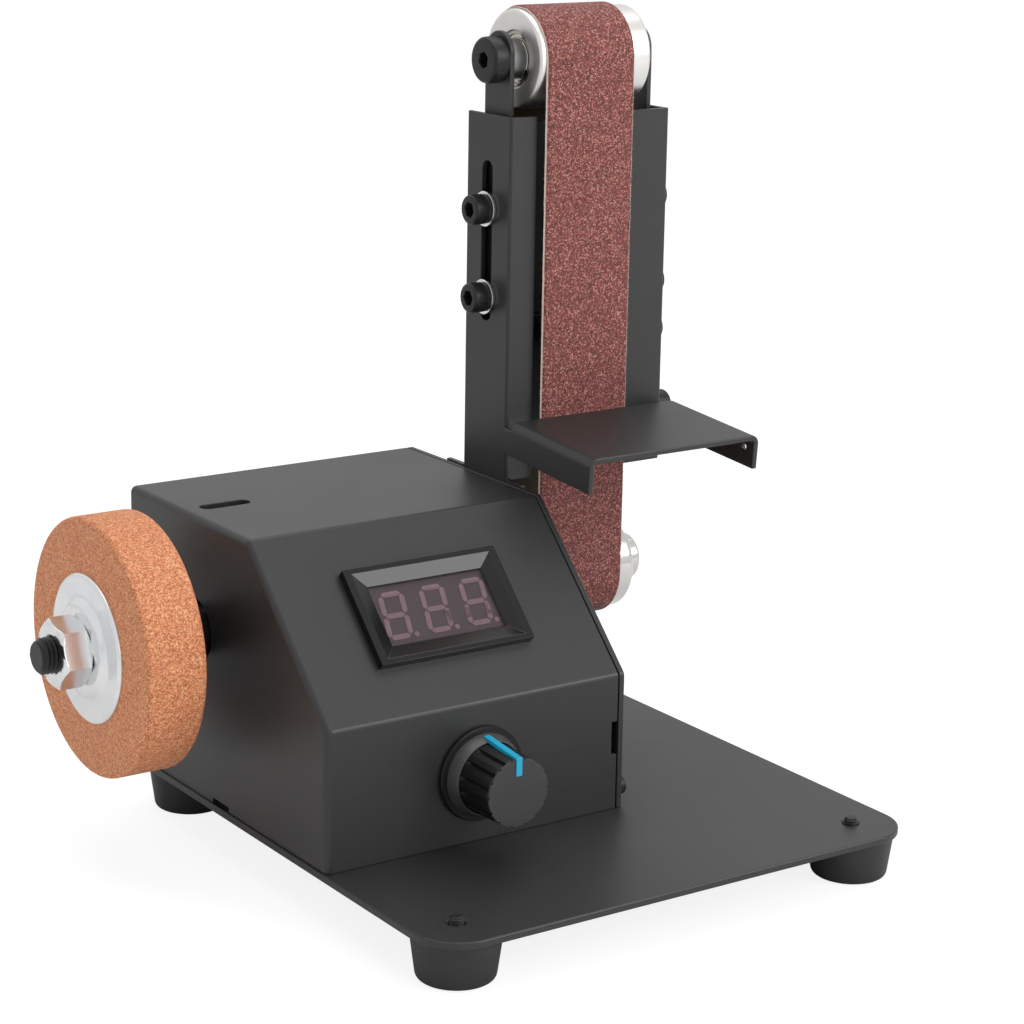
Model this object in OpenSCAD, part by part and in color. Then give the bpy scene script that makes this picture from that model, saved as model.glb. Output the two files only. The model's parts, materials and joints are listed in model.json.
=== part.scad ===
// Mini belt sander with a grinding wheel on the other end of its spindle.
// X runs along the spindle from the wheel to the belt, Y runs back from the
// front panel and Z is up. The origin is on the floor under the middle.

/* [Base plate and feet] */
// Width of the base plate
plate_w = 153.5; // [152:0.5:190]
// Reach of the plate in front of the housing
plate_front = 55; // [40:0.5:90]
// Edge of the plate left of the housing and behind it
plate_edge = 0.7; // [0.2:0.1:6]
// Thickness of the plate
plate_t = 2; // [1.5:0.1:4]
// Corner radius of the plate, which is also the inset of its feet
plate_r = 12.8; // [12:0.1:18]
// Height of a rubber foot
foot_h = 12.2; // [9:0.1:20]
// Diameter of a foot under the plate
foot_top_d = 23.4; // [18:0.1:24]
// Diameter of a foot on the floor
foot_floor_d = 20.3; // [15:0.1:22]
// Height of a foot screw's tip over the plate
foot_tip = 1.7; // [0.5:0.1:4]

/* [Housing] */
// Width of the housing along the spindle
house_w = 94; // [88:0.5:130]
// Depth of the housing
house_d = 109; // [104:0.5:140]
// Height of the housing over the plate
house_h = 79.5; // [76:0.5:110]
// Height and depth of the sloped face
slope = 41; // [36:0.5:46]
// Thickness of the housing's sheet
sheet = 1.6; // [1:0.1:2.2]
// Outer radius of the sheet's bends
bend_r = 1.8; // [1.8:0.1:4]
// Seam between the cover and the right panel
seam = 0.4; // [0.1:0.1:1]
// Length of the vent slot in the top
vent_l = 15.2; // [8:0.1:30]
// Width of the vent slot
vent_w = 4.9; // [2:0.1:8]

/* [Motor and spindle] */
// Depth of the spindle behind the front panel
spindle_y = 70; // [67:0.5:78]
// Height of the spindle over the plate
spindle_h = 47.3; // [44:0.1:52]
// Diameter of the motor can
motor_d = 44; // [42:0.5:46]
// Length of the motor
motor_l = 66.7; // [60:0.1:68]
// Wall of the motor can
can_t = 1.5; // [1:0.1:2]
// Diameter of the motor shaft
shaft_d = 5; // [4:0.1:6]
// Diameter of the boss on the motor's face
boss_d = 17.5; // [17.2:0.1:18.5]
// Length of the boss
boss_l = 4.6; // [4:0.1:5.5]
// Distance between the motor's face screws
motor_screw_span = 29; // [26:0.1:32]

/* [Grinding wheel] */
// Gap between the housing and the wheel
wheel_gap = 15; // [12:0.1:25]
// Diameter of the wheel
wheel_d = 70.8; // [60:0.1:80]
// Width of the wheel
wheel_w = 17.2; // [8:0.1:25]
// Diameter of the arbor's thread
arbor_d = 10; // [8:0.1:12]
// Diameter of the arbor's hub
arbor_hub_d = 14; // [13:0.1:16]
// Length of the arbor's free end
arbor_tip = 4.4; // [2.5:0.1:10]
// Diameter of the two flanges
flange_d = 41; // [34:0.1:50]
// Height of the outer flange's dish
dish_h = 2.8; // [2:0.1:4]
// Width of the arbor nut across its flats
nut_af = 17; // [16:0.1:19]
// Thickness of the arbor nut
nut_t = 8; // [6:0.1:10]

/* [Belt and pulleys] */
// Height of the idler axle over the column
idler_rise = 15; // [14.8:0.1:20]
// Diameter of both pulleys
pulley_d = 27.8; // [26.5:0.1:29]
// Gap between the housing and the pulleys
pulley_gap = 8.1; // [7.8:0.1:9]
// Length of the idler pulley
idler_l = 38; // [34:0.1:38.4]
// Length of the drive pulley's rim
drive_l = 37.9; // [34:0.1:42]
// Length of the drive pulley's hub
hub_l = 7; // [6:0.1:12]
// Width of the belt
belt_w = 30; // [20:0.5:33]
// Thickness of the belt
belt_t = 0.8; // [0.5:0.1:1.2]
// Distance of the belt from the pulleys' left end
belt_inset = 1.6; // [0.5:0.1:3]

/* [Column] */
// Width of the column
column_w = 55; // [54:0.5:60]
// Depth of the column
column_d = 22; // [21:0.5:24]
// Height of the column over the housing
column_h = 103.3; // [100:0.1:120]
// Thickness of the column's sheet
column_t = 1.6; // [1.2:0.1:2]
// Outer radius of the column's bends
column_bend_r = 1; // [0.6:0.1:2.5]
// Width of the column's left lip
left_lip_w = 8.8; // [6:0.1:9.4]
// Width of the column's right lip
right_lip_w = 14.2; // [10:0.1:14.8]
// Drop of the rear wall below the side walls
web_drop = 4; // [3:0.1:8]
// Length of the tension slots
slot_l = 45.6; // [42:0.1:50]
// Distance from the column's top to the slots
slot_top = 13; // [8:0.1:16]
// Width of the mounting plate below the column
mount_w = 38; // [36:0.5:42]
// Reach of the mounting plate below the spindle
mount_drop = 23.5; // [22:0.1:30]

/* [Tension fork] */
// Thickness of the fork's sheet
fork_t = 1.5; // [1.2:0.1:2]
// Width of the fork's arms
fork_w = 12.6; // [10:0.1:13]
// Gap between the fork and the column's walls
fork_gap = 1.4; // [0.4:0.1:1.8]
// Height of the fork's tip over the idler axle
fork_tip = 8; // [7:0.1:10]
// Distance from the idler axle down to the upper tension screws
screw_drop = 41.6; // [40:0.1:43]
// Distance between the upper and lower tension screws
screw_pitch = 25.1; // [22:0.1:26]
// Downward travel of the fork
fork_travel = 4; // [2:0.1:4]

/* [Work table] */
// Depth of the table
table_d = 38; // [30:0.5:44]
// Distance of the table's edge from the belt
table_gap = 1.6; // [1.5:0.1:3]
// Height of the level table over the housing
table_h = 19.5; // [18:0.1:24]
// Droop of the table's front edge in degrees
table_droop = 4.5; // [0:0.5:6]
// Height of the table's flanges
flange_h = 10; // [9:0.1:13]
// Thickness of the table's sheet
table_t = 1.6; // [1.2:0.1:2]
// Gap between the table's flanges and the column
table_slip = 0.3; // [0.2:0.1:0.6]

/* [Meter] */
// Width of the meter's bezel
bezel_w = 48; // [46:0.5:60]
// Height of the bezel
bezel_h = 29; // [28:0.5:34]
// Height of the bezel over the slope
bezel_out = 2.5; // [1.5:0.1:4]
// Width of the meter's window
window_w = 36; // [34:0.5:38]
// Height of the window
window_h = 18; // [16:0.5:20]
// Height of a digit
digit_h = 14.2; // [10:0.1:14.5]

/* [Speed knob] */
// Height of the knob over the plate
knob_h = 19; // [17:0.1:24]
// Reach of the knob in front of the panel
knob_out = 18; // [15:0.1:24]
// Diameter of the knob's face
knob_d = 18.6; // [18:0.1:24]
// Diameter of the knob's base
knob_base_d = 26; // [24.5:0.1:30]
// Number of grooves round the knob
knob_grooves = 14; // [8:1:20]
// Width of the knob's pointer
pointer_w = 1.9; // [1:0.1:3]

/* [Electrics] */
// Width of the control board
board_w = 56; // [50:0.5:60]
// Depth of the control board
board_d = 36; // [34:0.5:38]
// Height of the board's standoffs
standoff_h = 7; // [5:0.1:8]
// Diameter of the power jack's barrel
jack_d = 12; // [10:0.1:14]
// Thickness of a power lead
lead_d = 2; // [1.4:0.1:2.4]
// Thickness of a signal lead
signal_d = 1.2; // [0.8:0.1:1.6]

/* [Hidden] */
$fn = 64;

// Clearances: a pressed or bolted fit, a running fit and a sliding face
fit = 0.05;
running = 0.03;
slip = 0.05;

// Screws: thread, head diameter, head height and key width
m3 = [3, 5.5, 3, 2.5];
m4 = [4, 7, 4, 3];
m5 = [5, 8.5, 5, 4];
m8 = [8, 13, 5, 5];
washer_t = 1;
washer_d = 10;
m3_nut = [5.5, 2.4];
m5_nut = [8, 4];
m8_nut = [13, 5];

// Heights over the floor
floor_z = foot_h + plate_t;
top_z = floor_z + house_h;
spindle_z = floor_z + spindle_h;
column_top = top_z + column_h;
idler_z = column_top + idler_rise;
pulley_span = idler_z - spindle_z;
knob_z = floor_z + knob_h;

// Base plate and feet
plate_d = plate_front + house_d + plate_edge;
foot_x = [plate_r - plate_edge, plate_w - plate_edge - plate_r];
foot_y = [plate_r - plate_front, house_d + plate_edge - plate_r];
foot_seat = 5;
foot_bore_d = m4[1] + 1.6;
foot_ring_d = 5.3;
foot_ring_h = 0.6;

// Housing, with heights over the plate
panel_x = house_w - sheet;
cover_x = panel_x - seam;
house_mid = house_w / 2;
tab = 11;
panel_screw_at = [
    [4.2, 4.8],
    [house_d - 4.2, 4.8],
    [spindle_y - mount_w / 2 - m3[1] / 2 - 1.2, house_h - sheet - 4],
    [(spindle_y + mount_w / 2 + house_d) / 2, house_h - sheet - 4]
];
rail_w = 11;
rail_y = [16, house_d - 19];
base_screw_y = [rail_y[0] + 12, rail_y[1] - 8];
base_screw_x = [rail_w / 2 + 1, house_w - rail_w / 2 - 1];
base_screw_l = plate_t + sheet + m3_nut[1] + 1.6;
arbor_hole_d = arbor_hub_d + 4;
vent_x = 5.4;
vent_y = spindle_y + 6.5;
notch_z = [15.8, 25.1];
notch_w = 1.8;
scoop_y = [52, 61];
scoop_h = 1.5;

// Motor, along X
motor_x = panel_x - motor_l;
cap_l = 6;
can_in_r = motor_d / 2 - can_t;
bearing_w = 5;
bearing_r = boss_d / 2 - 0.8;
magnet_t = 3;
magnet_gap = 12;
magnet_over = 2;
core_r = can_in_r - magnet_t - 0.9;
core_slot = [6, 1.8];
winding_slot = [4, 3];
winding_r = core_r - 1.5;
winding_l = 5;
shaft_room = 0.6;
commutator_d = 13;
holder_y = [10, 16];
brush_w = 5;
terminal = [8, 5, 0.8];
terminal_y = [spindle_y - 16, spindle_y + 16];
core_x = [motor_x + 20, panel_x - 12];
core_l = core_x[1] - core_x[0];
shaft_end_x = panel_x + sheet + pulley_gap + drive_l + hub_l - 2;
shaft_tail_x = -4;

// Grinding wheel and arbor, along X
wheel_x = -wheel_gap;
wheel_out_x = wheel_x - wheel_w;
inner_flange_t = 2.5;
hub_in_x = 14;
grub_x = hub_in_x - 5;
nut_x = wheel_out_x - dish_h;
tip_x = nut_x - nut_t - arbor_tip;
tip_chamfer = 1;

// Column, fork and belt
column_right = house_w + column_w;
pulley_r = pulley_d / 2;
pulley_x = house_w + pulley_gap;
belt_gap = 0.15;
belt_in_r = pulley_r + belt_gap;
belt_out_r = belt_in_r + belt_t;
belt_x = pulley_x + belt_inset;
platen_t = 2;
platen_gap = 0.2;
lip_gap = 0.35;
platen_y = spindle_y - belt_in_r + platen_gap;
column_y = platen_y + platen_t + lip_gap;
slot_w = m5[0] + 0.2;
slot_z = [column_top - slot_top - slot_l, column_top - slot_top];
fork_left = house_w + column_t + fork_gap;
fork_right = column_right - column_t - fork_gap;
screw_z = [idler_z - screw_drop, idler_z - screw_drop - screw_pitch];
web_z = screw_z[1] - m5_nut[0] / 2 - 0.3 - fork_t;
platen_bar = 8;
platen_screw_z = web_z - fork_travel - 0.5 - platen_bar / 2;
spacer_d = 11;
bearing_seat_r = 8;
bearing_recess = 1;

// Work table
table_left = house_w - table_slip - table_t;
table_right = column_right + table_slip + table_t;
table_back = spindle_y - belt_out_r - table_gap;
table_front = table_back - table_d;
table_z = top_z + table_h;
pivot_y = table_back + 12.5;
table_bend_r = table_t + 1;
pivot_z = table_z - flange_h / 2;

// Meter on the middle of the slope
meter_x = house_mid - 1;
meter_sleeve = [bezel_w - 3, bezel_h - 3];
sleeve_t = 1.2;
sleeve_l = 8.5;
meter_plug = [10, 6, 6];
bevel_w = 4;
window_t = 0.8;
digit_t = 0.2;
digit_pitch = 12.7;

// Speed dial
bushing_d = 7;
bushing_out = 6;
dial_d = 17;
dial_l = 9;
dial_shaft_d = 6;
dial_tag = 4;
dial_tag_x = [-5, 0, 5];
dial_nut_af = 10;
dial_nut_t = 2;
knob_x = house_mid;

// Control board, on the plate under the slope
board_t = 1.6;
board_x = 20;
board_y = 14;
board_z = floor_z + standoff_h;
jack_x = 20;
jack_z = floor_z + 14;
jack_flange = [jack_d + 3, 2];
jack_l = 14;
jack_hole = [6.4, 9];
jack_tag = 5;
jack_tag_x = [-3.5, 3.5];

// The outline box, which places everything about the origin
right_reach = max(plate_w - plate_edge, table_right + m5[2] + slip);
rear_reach = house_d + max(plate_edge, jack_flange[1]);
centre_x = (right_reach + tip_x) / 2;
centre_y = (rear_reach - plate_front) / 2;

// Colours
dark_paint = "#4d4e4f";
steel = "#b8bcc0";
black = "#202122";

// General shapes

module place() {
    translate([-centre_x, -centre_y, 0]) children();
}

// Turns a shape drawn along Z so that it runs along X from x
module along_x(x, y = spindle_y, z = spindle_z) {
    translate([x, y, z]) rotate([0, 90, 0]) children();
}

// Turns a flat drawing of Y and Z so that it is pushed along X
module push_x(x, l) {
    translate([x, 0, 0]) rotate([90, 0, 90]) linear_extrude(l) children();
}

module ring(outer_d, inner_d, l) {
    difference() {
        cylinder(h = l, d = outer_d);
        translate([0, 0, -1]) cylinder(h = l + 2, d = inner_d);
    }
}

module rounded_rect(w, d, r) {
    translate([r, 0]) square([w - 2 * r, d]);
    translate([0, r]) square([w, d - 2 * r]);
    for (x = [r, w - r], y = [r, d - r])
        translate([x, y]) circle(r = r);
}

// Hexagon of a given width across its flats
module hexagon(across, l) {
    cylinder(h = l, d = across / cos(30), $fn = 6);
}

// Nut whose corners are turned down at both ends
module hex_nut(across, l, bore) {
    corner_r = across / 2 / cos(30);
    turned = corner_r - across / 2;
    difference() {
        intersection() {
            hexagon(across, l);
            rotate_extrude() polygon([
                [0, 0], [across / 2, 0], [corner_r, turned * 0.6],
                [corner_r, l - turned * 0.6], [across / 2, l], [0, l]
            ]);
        }
        translate([0, 0, -1]) cylinder(h = l + 2, d = bore);
    }
}

// Socket screw with its head above z = 0 and its thread below
module cap_screw(size, l) {
    chamfer = size[1] * 0.06;
    difference() {
        union() {
            translate([0, 0, -l]) cylinder(h = l + 0.5, d = size[0]);
            cylinder(h = size[2] - chamfer, d = size[1]);
            translate([0, 0, size[2] - chamfer])
                cylinder(h = chamfer, d1 = size[1], d2 = size[1] - 2 * chamfer);
        }
        translate([0, 0, size[2] * 0.45]) hexagon(size[3], size[2]);
    }
}

// Unit vectors and frames for a lead that follows its points
function unit(v) = v / norm(v);
function heading(p, i) = unit(p[min(i + 1, len(p) - 1)] - p[max(i - 1, 0)]);
function sideways(p, i) =
    i == 0
        ? unit(cross(heading(p, 0), abs(heading(p, 0)[2]) < 0.9 ? [0, 0, 1] : [1, 0, 0]))
        : let (before = sideways(p, i - 1), h = heading(p, i))
            unit(before - (before * h) * h);

// Point on the smooth curve through a route's points
function eased(a, b, c, d, t) =
    0.5 * (2 * b + (c - a) * t + (2 * a - 5 * b + 4 * c - d) * t * t
        + (3 * b - a - 3 * c + d) * t * t * t);
function smooth(p, steps) = [
    for (i = [0 : len(p) - 2], s = [0 : steps - 1])
        eased(p[max(i - 1, 0)], p[i], p[i + 1], p[min(i + 2, len(p) - 1)], s / steps),
    p[len(p) - 1]
];

// Round lead along a route, with eight sides
module lead(route, d) {
    p = smooth(route, 3);
    n = 8;
    last = len(p) - 1;
    points = [
        for (i = [0 : last])
            let (h = heading(p, i), s = sideways(p, i), u = cross(h, s))
                for (k = [0 : n - 1])
                    p[i] + d / 2 * (cos(360 * k / n) * s + sin(360 * k / n) * u)
    ];
    polyhedron(points, [
        for (k = [1 : n - 2]) [0, k + 1, k],
        for (i = [0 : last - 1], k = [0 : n - 1])
            [i * n + k, i * n + (k + 1) % n, (i + 1) * n + k],
        for (i = [0 : last - 1], k = [0 : n - 1])
            [i * n + (k + 1) % n, (i + 1) * n + (k + 1) % n, (i + 1) * n + k],
        for (k = [1 : n - 2]) [last * n, last * n + k, last * n + k + 1]
    ]);
}

// Base plate and feet

module at_feet() {
    for (x = foot_x, y = foot_y) translate([x, y, 0]) children();
}

module base_plate() {
    color(dark_paint) place() difference() {
        translate([-plate_edge, -plate_front, foot_h])
            linear_extrude(plate_t) rounded_rect(plate_w, plate_d, plate_r);
        at_feet() {
            translate([0, 0, foot_h - 1]) cylinder(h = plate_t + 2, d = m4[0] + 2 * fit);
            translate([0, 0, floor_z - foot_ring_h])
                cylinder(h = foot_ring_h + 0.1, d1 = m4[0] + 2 * fit, d2 = foot_ring_d);
        }
        for (x = base_screw_x, y = base_screw_y)
            translate([x, y, foot_h - 1]) cylinder(h = plate_t + 2, d = m3[0] + 2 * fit);
    }
}

module rubber_feet() {
    edge_r = 1.2;
    floor_r = foot_floor_d / 2;
    top_r = foot_top_d / 2;
    color(black) place() at_feet() rotate_extrude() polygon(concat(
        [[foot_bore_d / 2, 0]],
        [for (a = [0 : 18 : 90])
            [floor_r - edge_r + edge_r * sin(a), edge_r - edge_r * cos(a)]],
        [[top_r - 0.3, foot_h - 1.1], [top_r, foot_h - 0.8], [top_r, foot_h],
         [m4[0] / 2 + fit, foot_h], [m4[0] / 2 + fit, foot_seat],
         [foot_bore_d / 2, foot_seat]]
    ));
}

module foot_screws() {
    color(black) place() at_feet() translate([0, 0, foot_seat])
        rotate([180, 0, 0]) cap_screw(
            [m4[0], m4[1], m4[2] - 1, m4[3]],
            floor_z + foot_tip - foot_seat
        );
}

// Housing

// Outline of the housing seen from the side, drawn in from its outer face
module house_profile(inset, r) {
    rise = house_h - slope;
    corner = inset * (sqrt(2) - 1);
    low = rise - corner;
    back = slope + corner;
    top = house_h - inset;
    rear = house_d - inset;
    t = r * (sqrt(2) - 1);
    c = t / sqrt(2);
    polygon([
        [inset, 0], [inset, low - t], [inset + c, low + c], [back - c, top - c],
        [back + t, top], [rear - r, top], [rear, top - r], [rear, 0]
    ]);
    translate([inset + r, low - t]) circle(r = r);
    translate([back + t, top - r]) circle(r = r);
    translate([rear - r, top - r]) circle(r = r);
}

// Outer shape, with the left side's bends rounded in steps
module house_outside() {
    hull() {
        for (a = [0 : 22.5 : 67.5])
            push_x(bend_r * (1 - cos(a)), 0.01)
                house_profile(bend_r * (1 - sin(a)), max(bend_r * sin(a), 0.1), $fn = 32);
        push_x(bend_r, cover_x - bend_r) house_profile(0, bend_r, $fn = 32);
    }
}

module house_inside() {
    push_x(sheet, house_w) house_profile(sheet, max(bend_r - sheet, 0.2));
}

// Places the children on the meter's seat, with Z out of the slope
module on_slope() {
    translate([meter_x, slope / 2, top_z - slope / 2]) rotate([45, 0, 0]) children();
}

module at_panel_screws(x) {
    for (at = panel_screw_at) along_x(x, at[0], floor_z + at[1]) children();
}

module cover_tabs() {
    intersection() {
        push_x(panel_x - sheet, sheet) house_profile(sheet / 2, max(bend_r - sheet / 2, 0.2));
        for (at = panel_screw_at)
            translate([panel_x - sheet, at[0] - tab / 2, at[1] - tab / 2])
                cube([sheet, tab, tab]);
    }
}

module bottom_rail(x) {
    translate([x, rail_y[0], 0]) cube([rail_w, rail_y[1] - rail_y[0], sheet]);
}

module meter_cutout() {
    on_slope() translate([0, 0, -5]) linear_extrude(10)
        square([meter_sleeve[0] + 2 * fit, meter_sleeve[1] + 2 * fit], center = true);
}

module housing_cover() {
    color(dark_paint) place() difference() {
        translate([0, 0, floor_z]) {
            difference() {
                house_outside();
                house_inside();
            }
            cover_tabs();
            bottom_rail(sheet / 2);
        }
        along_x(-1) cylinder(h = sheet + 2, d = arbor_hole_d);
        translate([vent_x, vent_y - vent_w / 2, top_z - sheet - 1])
            linear_extrude(sheet + 2) rounded_rect(vent_l, vent_w, vent_w / 2 - 0.01);
        meter_cutout();
        translate([knob_x, -1, knob_z]) rotate([-90, 0, 0])
            cylinder(h = sheet + 2, d = bushing_d + 2 * fit);
        translate([jack_x, house_d - sheet - 1, jack_z]) rotate([-90, 0, 0])
            cylinder(h = sheet + 2, d = jack_d + 2 * fit);
        translate([cover_x - notch_w, -1, floor_z + notch_z[0]])
            cube([notch_w + 1, sheet + 1.5, notch_z[1] - notch_z[0]]);
        translate([-1, scoop_y[0], floor_z - 1])
            cube([sheet + 1, scoop_y[1] - scoop_y[0], scoop_h + 1]);
        at_panel_screws(panel_x - sheet - 1) cylinder(h = sheet + 2, d = m3[0] + 2 * fit);
        base_screw_holes(base_screw_x[0]);
    }
}

module base_screw_holes(x) {
    for (y = base_screw_y)
        translate([x, y, floor_z - 1]) cylinder(h = sheet + 2, d = m3[0] + 2 * fit);
}

module right_panel() {
    color(dark_paint) place() difference() {
        translate([0, 0, floor_z]) {
            push_x(panel_x, sheet) house_profile(0, bend_r);
            bottom_rail(house_w - sheet / 2 - rail_w);
        }
        along_x(panel_x - 1) cylinder(h = sheet + 2, d = boss_d + 2 * fit);
        at_motor_screws(panel_x - 1) cylinder(h = sheet + 2, d = m4[0] + 2 * fit);
        at_panel_screws(panel_x - 1) cylinder(h = sheet + 2, d = m3[0] + 2 * fit);
        base_screw_holes(base_screw_x[1]);
    }
}

module panel_screws() {
    color(black) place() at_panel_screws(house_w) cap_screw(m3, 2 * sheet + 2);
}

module base_screws() {
    color(steel) place() for (x = base_screw_x, y = base_screw_y)
        translate([x, y, foot_h]) rotate([180, 0, 0]) cap_screw(m3, base_screw_l);
}

module base_nuts() {
    color(steel) place() for (x = base_screw_x, y = base_screw_y)
        translate([x, y, floor_z + sheet]) hex_nut(m3_nut[0], m3_nut[1], m3[0] + 2 * fit);
}

// Motor

module at_motor_screws(x) {
    for (side = [-1, 1])
        along_x(x, spindle_y, spindle_z + side * motor_screw_span / 2) children();
}

module motor_can() {
    can_l = motor_l - cap_l;
    color(steel) place() difference() {
        union() {
            along_x(panel_x - can_l) ring(motor_d, 2 * can_in_r, can_l);
            along_x(panel_x - 2.5) cylinder(h = 2.5, d = motor_d);
            along_x(panel_x - 0.1) cylinder(h = boss_l + 0.1, d = boss_d);
        }
        along_x(panel_x - 3) cylinder(h = boss_l + 4, r = shaft_d / 2 + shaft_room);
        along_x(panel_x - 3) cylinder(h = bearing_w + 1, r = bearing_r + fit);
        at_motor_screws(panel_x - 3) cylinder(h = 4, d = m4[0] + 2 * fit);
    }
}

module motor_magnets() {
    color(black) place() difference() {
        along_x(core_x[0] - magnet_over)
            ring(2 * can_in_r - 2 * fit, 2 * (can_in_r - magnet_t), core_l + 2 * magnet_over);
        translate([motor_x, spindle_y - magnet_gap / 2, spindle_z - motor_d])
            cube([motor_l, magnet_gap, 2 * motor_d]);
    }
}

// Places the children, drawn along Y from the spindle, for both brushes
module at_brushes(x) {
    for (side = [0, 1])
        translate([x, spindle_y, spindle_z]) mirror([0, side, 0]) children();
}

module motor_end_cap() {
    holder_w = brush_w + 3;
    color(black) place() difference() {
        union() {
            along_x(motor_x) cylinder(h = cap_l, d = motor_d);
            along_x(motor_x - 3) cylinder(h = 4, d = boss_d);
            at_brushes(motor_x + cap_l - 1) translate([0, holder_y[0], -holder_w / 2])
                cube([holder_w + 1, holder_y[1] - holder_y[0], holder_w]);
        }
        along_x(motor_x - 4) cylinder(h = cap_l + 5, r = shaft_d / 2 + shaft_room);
        along_x(motor_x + cap_l - bearing_w) cylinder(h = bearing_w + 1, r = bearing_r + fit);
    }
}

module motor_bearings() {
    color(steel) place() {
        along_x(panel_x - 2 + fit)
            ring(2 * bearing_r, shaft_d + 2 * running, bearing_w - 2 * fit);
        along_x(motor_x + cap_l - bearing_w)
            ring(2 * bearing_r, shaft_d + 2 * running, bearing_w - 2 * fit);
    }
}

module motor_brushes() {
    inner_y = commutator_d / 2 + 0.2;
    color(black) place() at_brushes(motor_x + cap_l + 2)
        translate([0, inner_y, -brush_w / 2]) cube([brush_w, holder_y[0] - inner_y, brush_w]);
}

module motor_terminals() {
    color(steel) place() for (y = terminal_y)
        translate([motor_x - terminal[0], y - terminal[1] / 2, spindle_z - terminal[2] / 2])
            cube(terminal);
}

module motor_screws() {
    color(steel) place() at_motor_screws(house_w + column_t)
        cap_screw([m4[0], m4[1], 2.6, m4[3]], 2 * sheet + column_t + 1);
}

module motor_shaft() {
    color(steel) place()
        along_x(shaft_tail_x) cylinder(h = shaft_end_x - shaft_tail_x, d = shaft_d);
}

// Five cuts, drawn along Z, of a depth and width from the radius r inwards
module core_slots(r, slot, l) {
    for (a = [0 : 72 : 288])
        rotate([0, 0, a]) translate([r - slot[0], -slot[1] / 2, -1])
            cube([r, slot[1], l + 2]);
}

module armature() {
    color(steel) place() along_x(core_x[0]) difference() {
        ring(2 * core_r, shaft_d + 2 * fit, core_l);
        core_slots(core_r, core_slot, core_l);
    }
}

module armature_windings() {
    color("#9a5a2c") place() for (x = [core_x[0] - winding_l - fit, core_x[1] + fit])
        along_x(x) difference() {
            ring(2 * winding_r, shaft_d + 2 * fit, winding_l);
            core_slots(core_r, winding_slot, winding_l);
        }
}

module commutator() {
    color("#b87a4a") place() along_x(motor_x + cap_l + 1)
        ring(commutator_d, shaft_d + 2 * fit, core_x[0] - winding_l - 2 - cap_l - motor_x);
}

// Grinding wheel

module wheel_arbor() {
    shank_x = wheel_x + inner_flange_t;
    color(black) place() difference() {
        union() {
            along_x(shank_x) cylinder(h = hub_in_x - shank_x, d = arbor_hub_d);
            along_x(tip_x + tip_chamfer) cylinder(h = shank_x - tip_x, d = arbor_d);
            along_x(tip_x)
                cylinder(h = tip_chamfer, d1 = arbor_d - 2 * tip_chamfer, d2 = arbor_d);
        }
        along_x(shaft_tail_x - 1)
            cylinder(h = hub_in_x - shaft_tail_x + 2, d = shaft_d + 2 * fit);
        translate([grub_x, spindle_y, spindle_z])
            cylinder(h = arbor_hub_d, d = m4[0] + 2 * fit);
    }
}

module grub_screw(l) {
    difference() {
        cylinder(h = l, d = m4[0]);
        translate([0, 0, l - 2]) hexagon(2, 3);
    }
}

module inner_flange() {
    color(steel) place() along_x(wheel_x)
        ring(flange_d, arbor_d + 2 * fit, inner_flange_t);
}

module grinding_wheel() {
    edge_r = 2.2;
    r = wheel_d / 2;
    color("#c47f54") place() along_x(wheel_out_x) rotate_extrude($fn = 96) polygon(concat(
        [[arbor_d / 2 + fit, 0]],
        [for (a = [0 : 18 : 90])
            [r - edge_r + edge_r * sin(a), edge_r - edge_r * cos(a)]],
        [for (a = [90 : 18 : 180])
            [r - edge_r + edge_r * sin(a), wheel_w - edge_r - edge_r * cos(a)]],
        [[arbor_d / 2 + fit, wheel_w]]
    ));
}

module outer_flange() {
    bore = arbor_d / 2 + fit;
    rim = flange_d / 2;
    t = 1.1;
    color(steel) place() along_x(wheel_out_x) rotate([180, 0, 0]) rotate_extrude()
        polygon([
            [bore, dish_h], [nut_af / 2 + 1, dish_h], [rim - 4, t + 0.4], [rim - 0.4, t],
            [rim, t - 0.4], [rim, 0], [rim - 3, 0], [nut_af / 2 + 1, dish_h - t],
            [bore, dish_h - t]
        ]);
}

module arbor_nut() {
    color(steel) place() along_x(nut_x - nut_t) rotate([0, 0, 12])
        hex_nut(nut_af, nut_t, arbor_d + 2 * fit);
}

// Belt drive

module drive_pulley() {
    edge = 0.8;
    hub_r = 7;
    bore = shaft_d / 2 + fit;
    color(steel) place() along_x(pulley_x) difference() {
        rotate_extrude() polygon([
            [bore, 0], [pulley_r - edge, 0], [pulley_r, edge], [pulley_r, drive_l - 2 * edge],
            [pulley_r - 2 * edge, drive_l], [hub_r, drive_l],
            [hub_r, drive_l + hub_l - edge], [hub_r - edge, drive_l + hub_l],
            [bore, drive_l + hub_l]
        ]);
        translate([0, 0, drive_l + hub_l / 2]) rotate([0, -90, 0])
            cylinder(h = arbor_hub_d, d = m4[0] + 2 * fit);
    }
}

// Screws that hold the arbor and the drive pulley to the shaft
module grub_screws() {
    color(black) place() for (x = [grub_x, pulley_x + drive_l + hub_l / 2])
        translate([x, spindle_y, spindle_z + shaft_d / 2 + fit])
            grub_screw(arbor_hub_d / 2 - shaft_d / 2 - 0.6);
}

// Cross-section of the column, with its left face on x = 0
module channel() {
    difference() {
        rounded_rect(column_w, column_d, column_bend_r);
        translate([column_t, column_t])
            rounded_rect(column_w - 2 * column_t, column_d - 2 * column_t,
                max(column_bend_r - column_t, 0.2));
        translate([left_lip_w, -1])
            square([column_w - left_lip_w - right_lip_w, column_t + 1.5]);
    }
}

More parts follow.
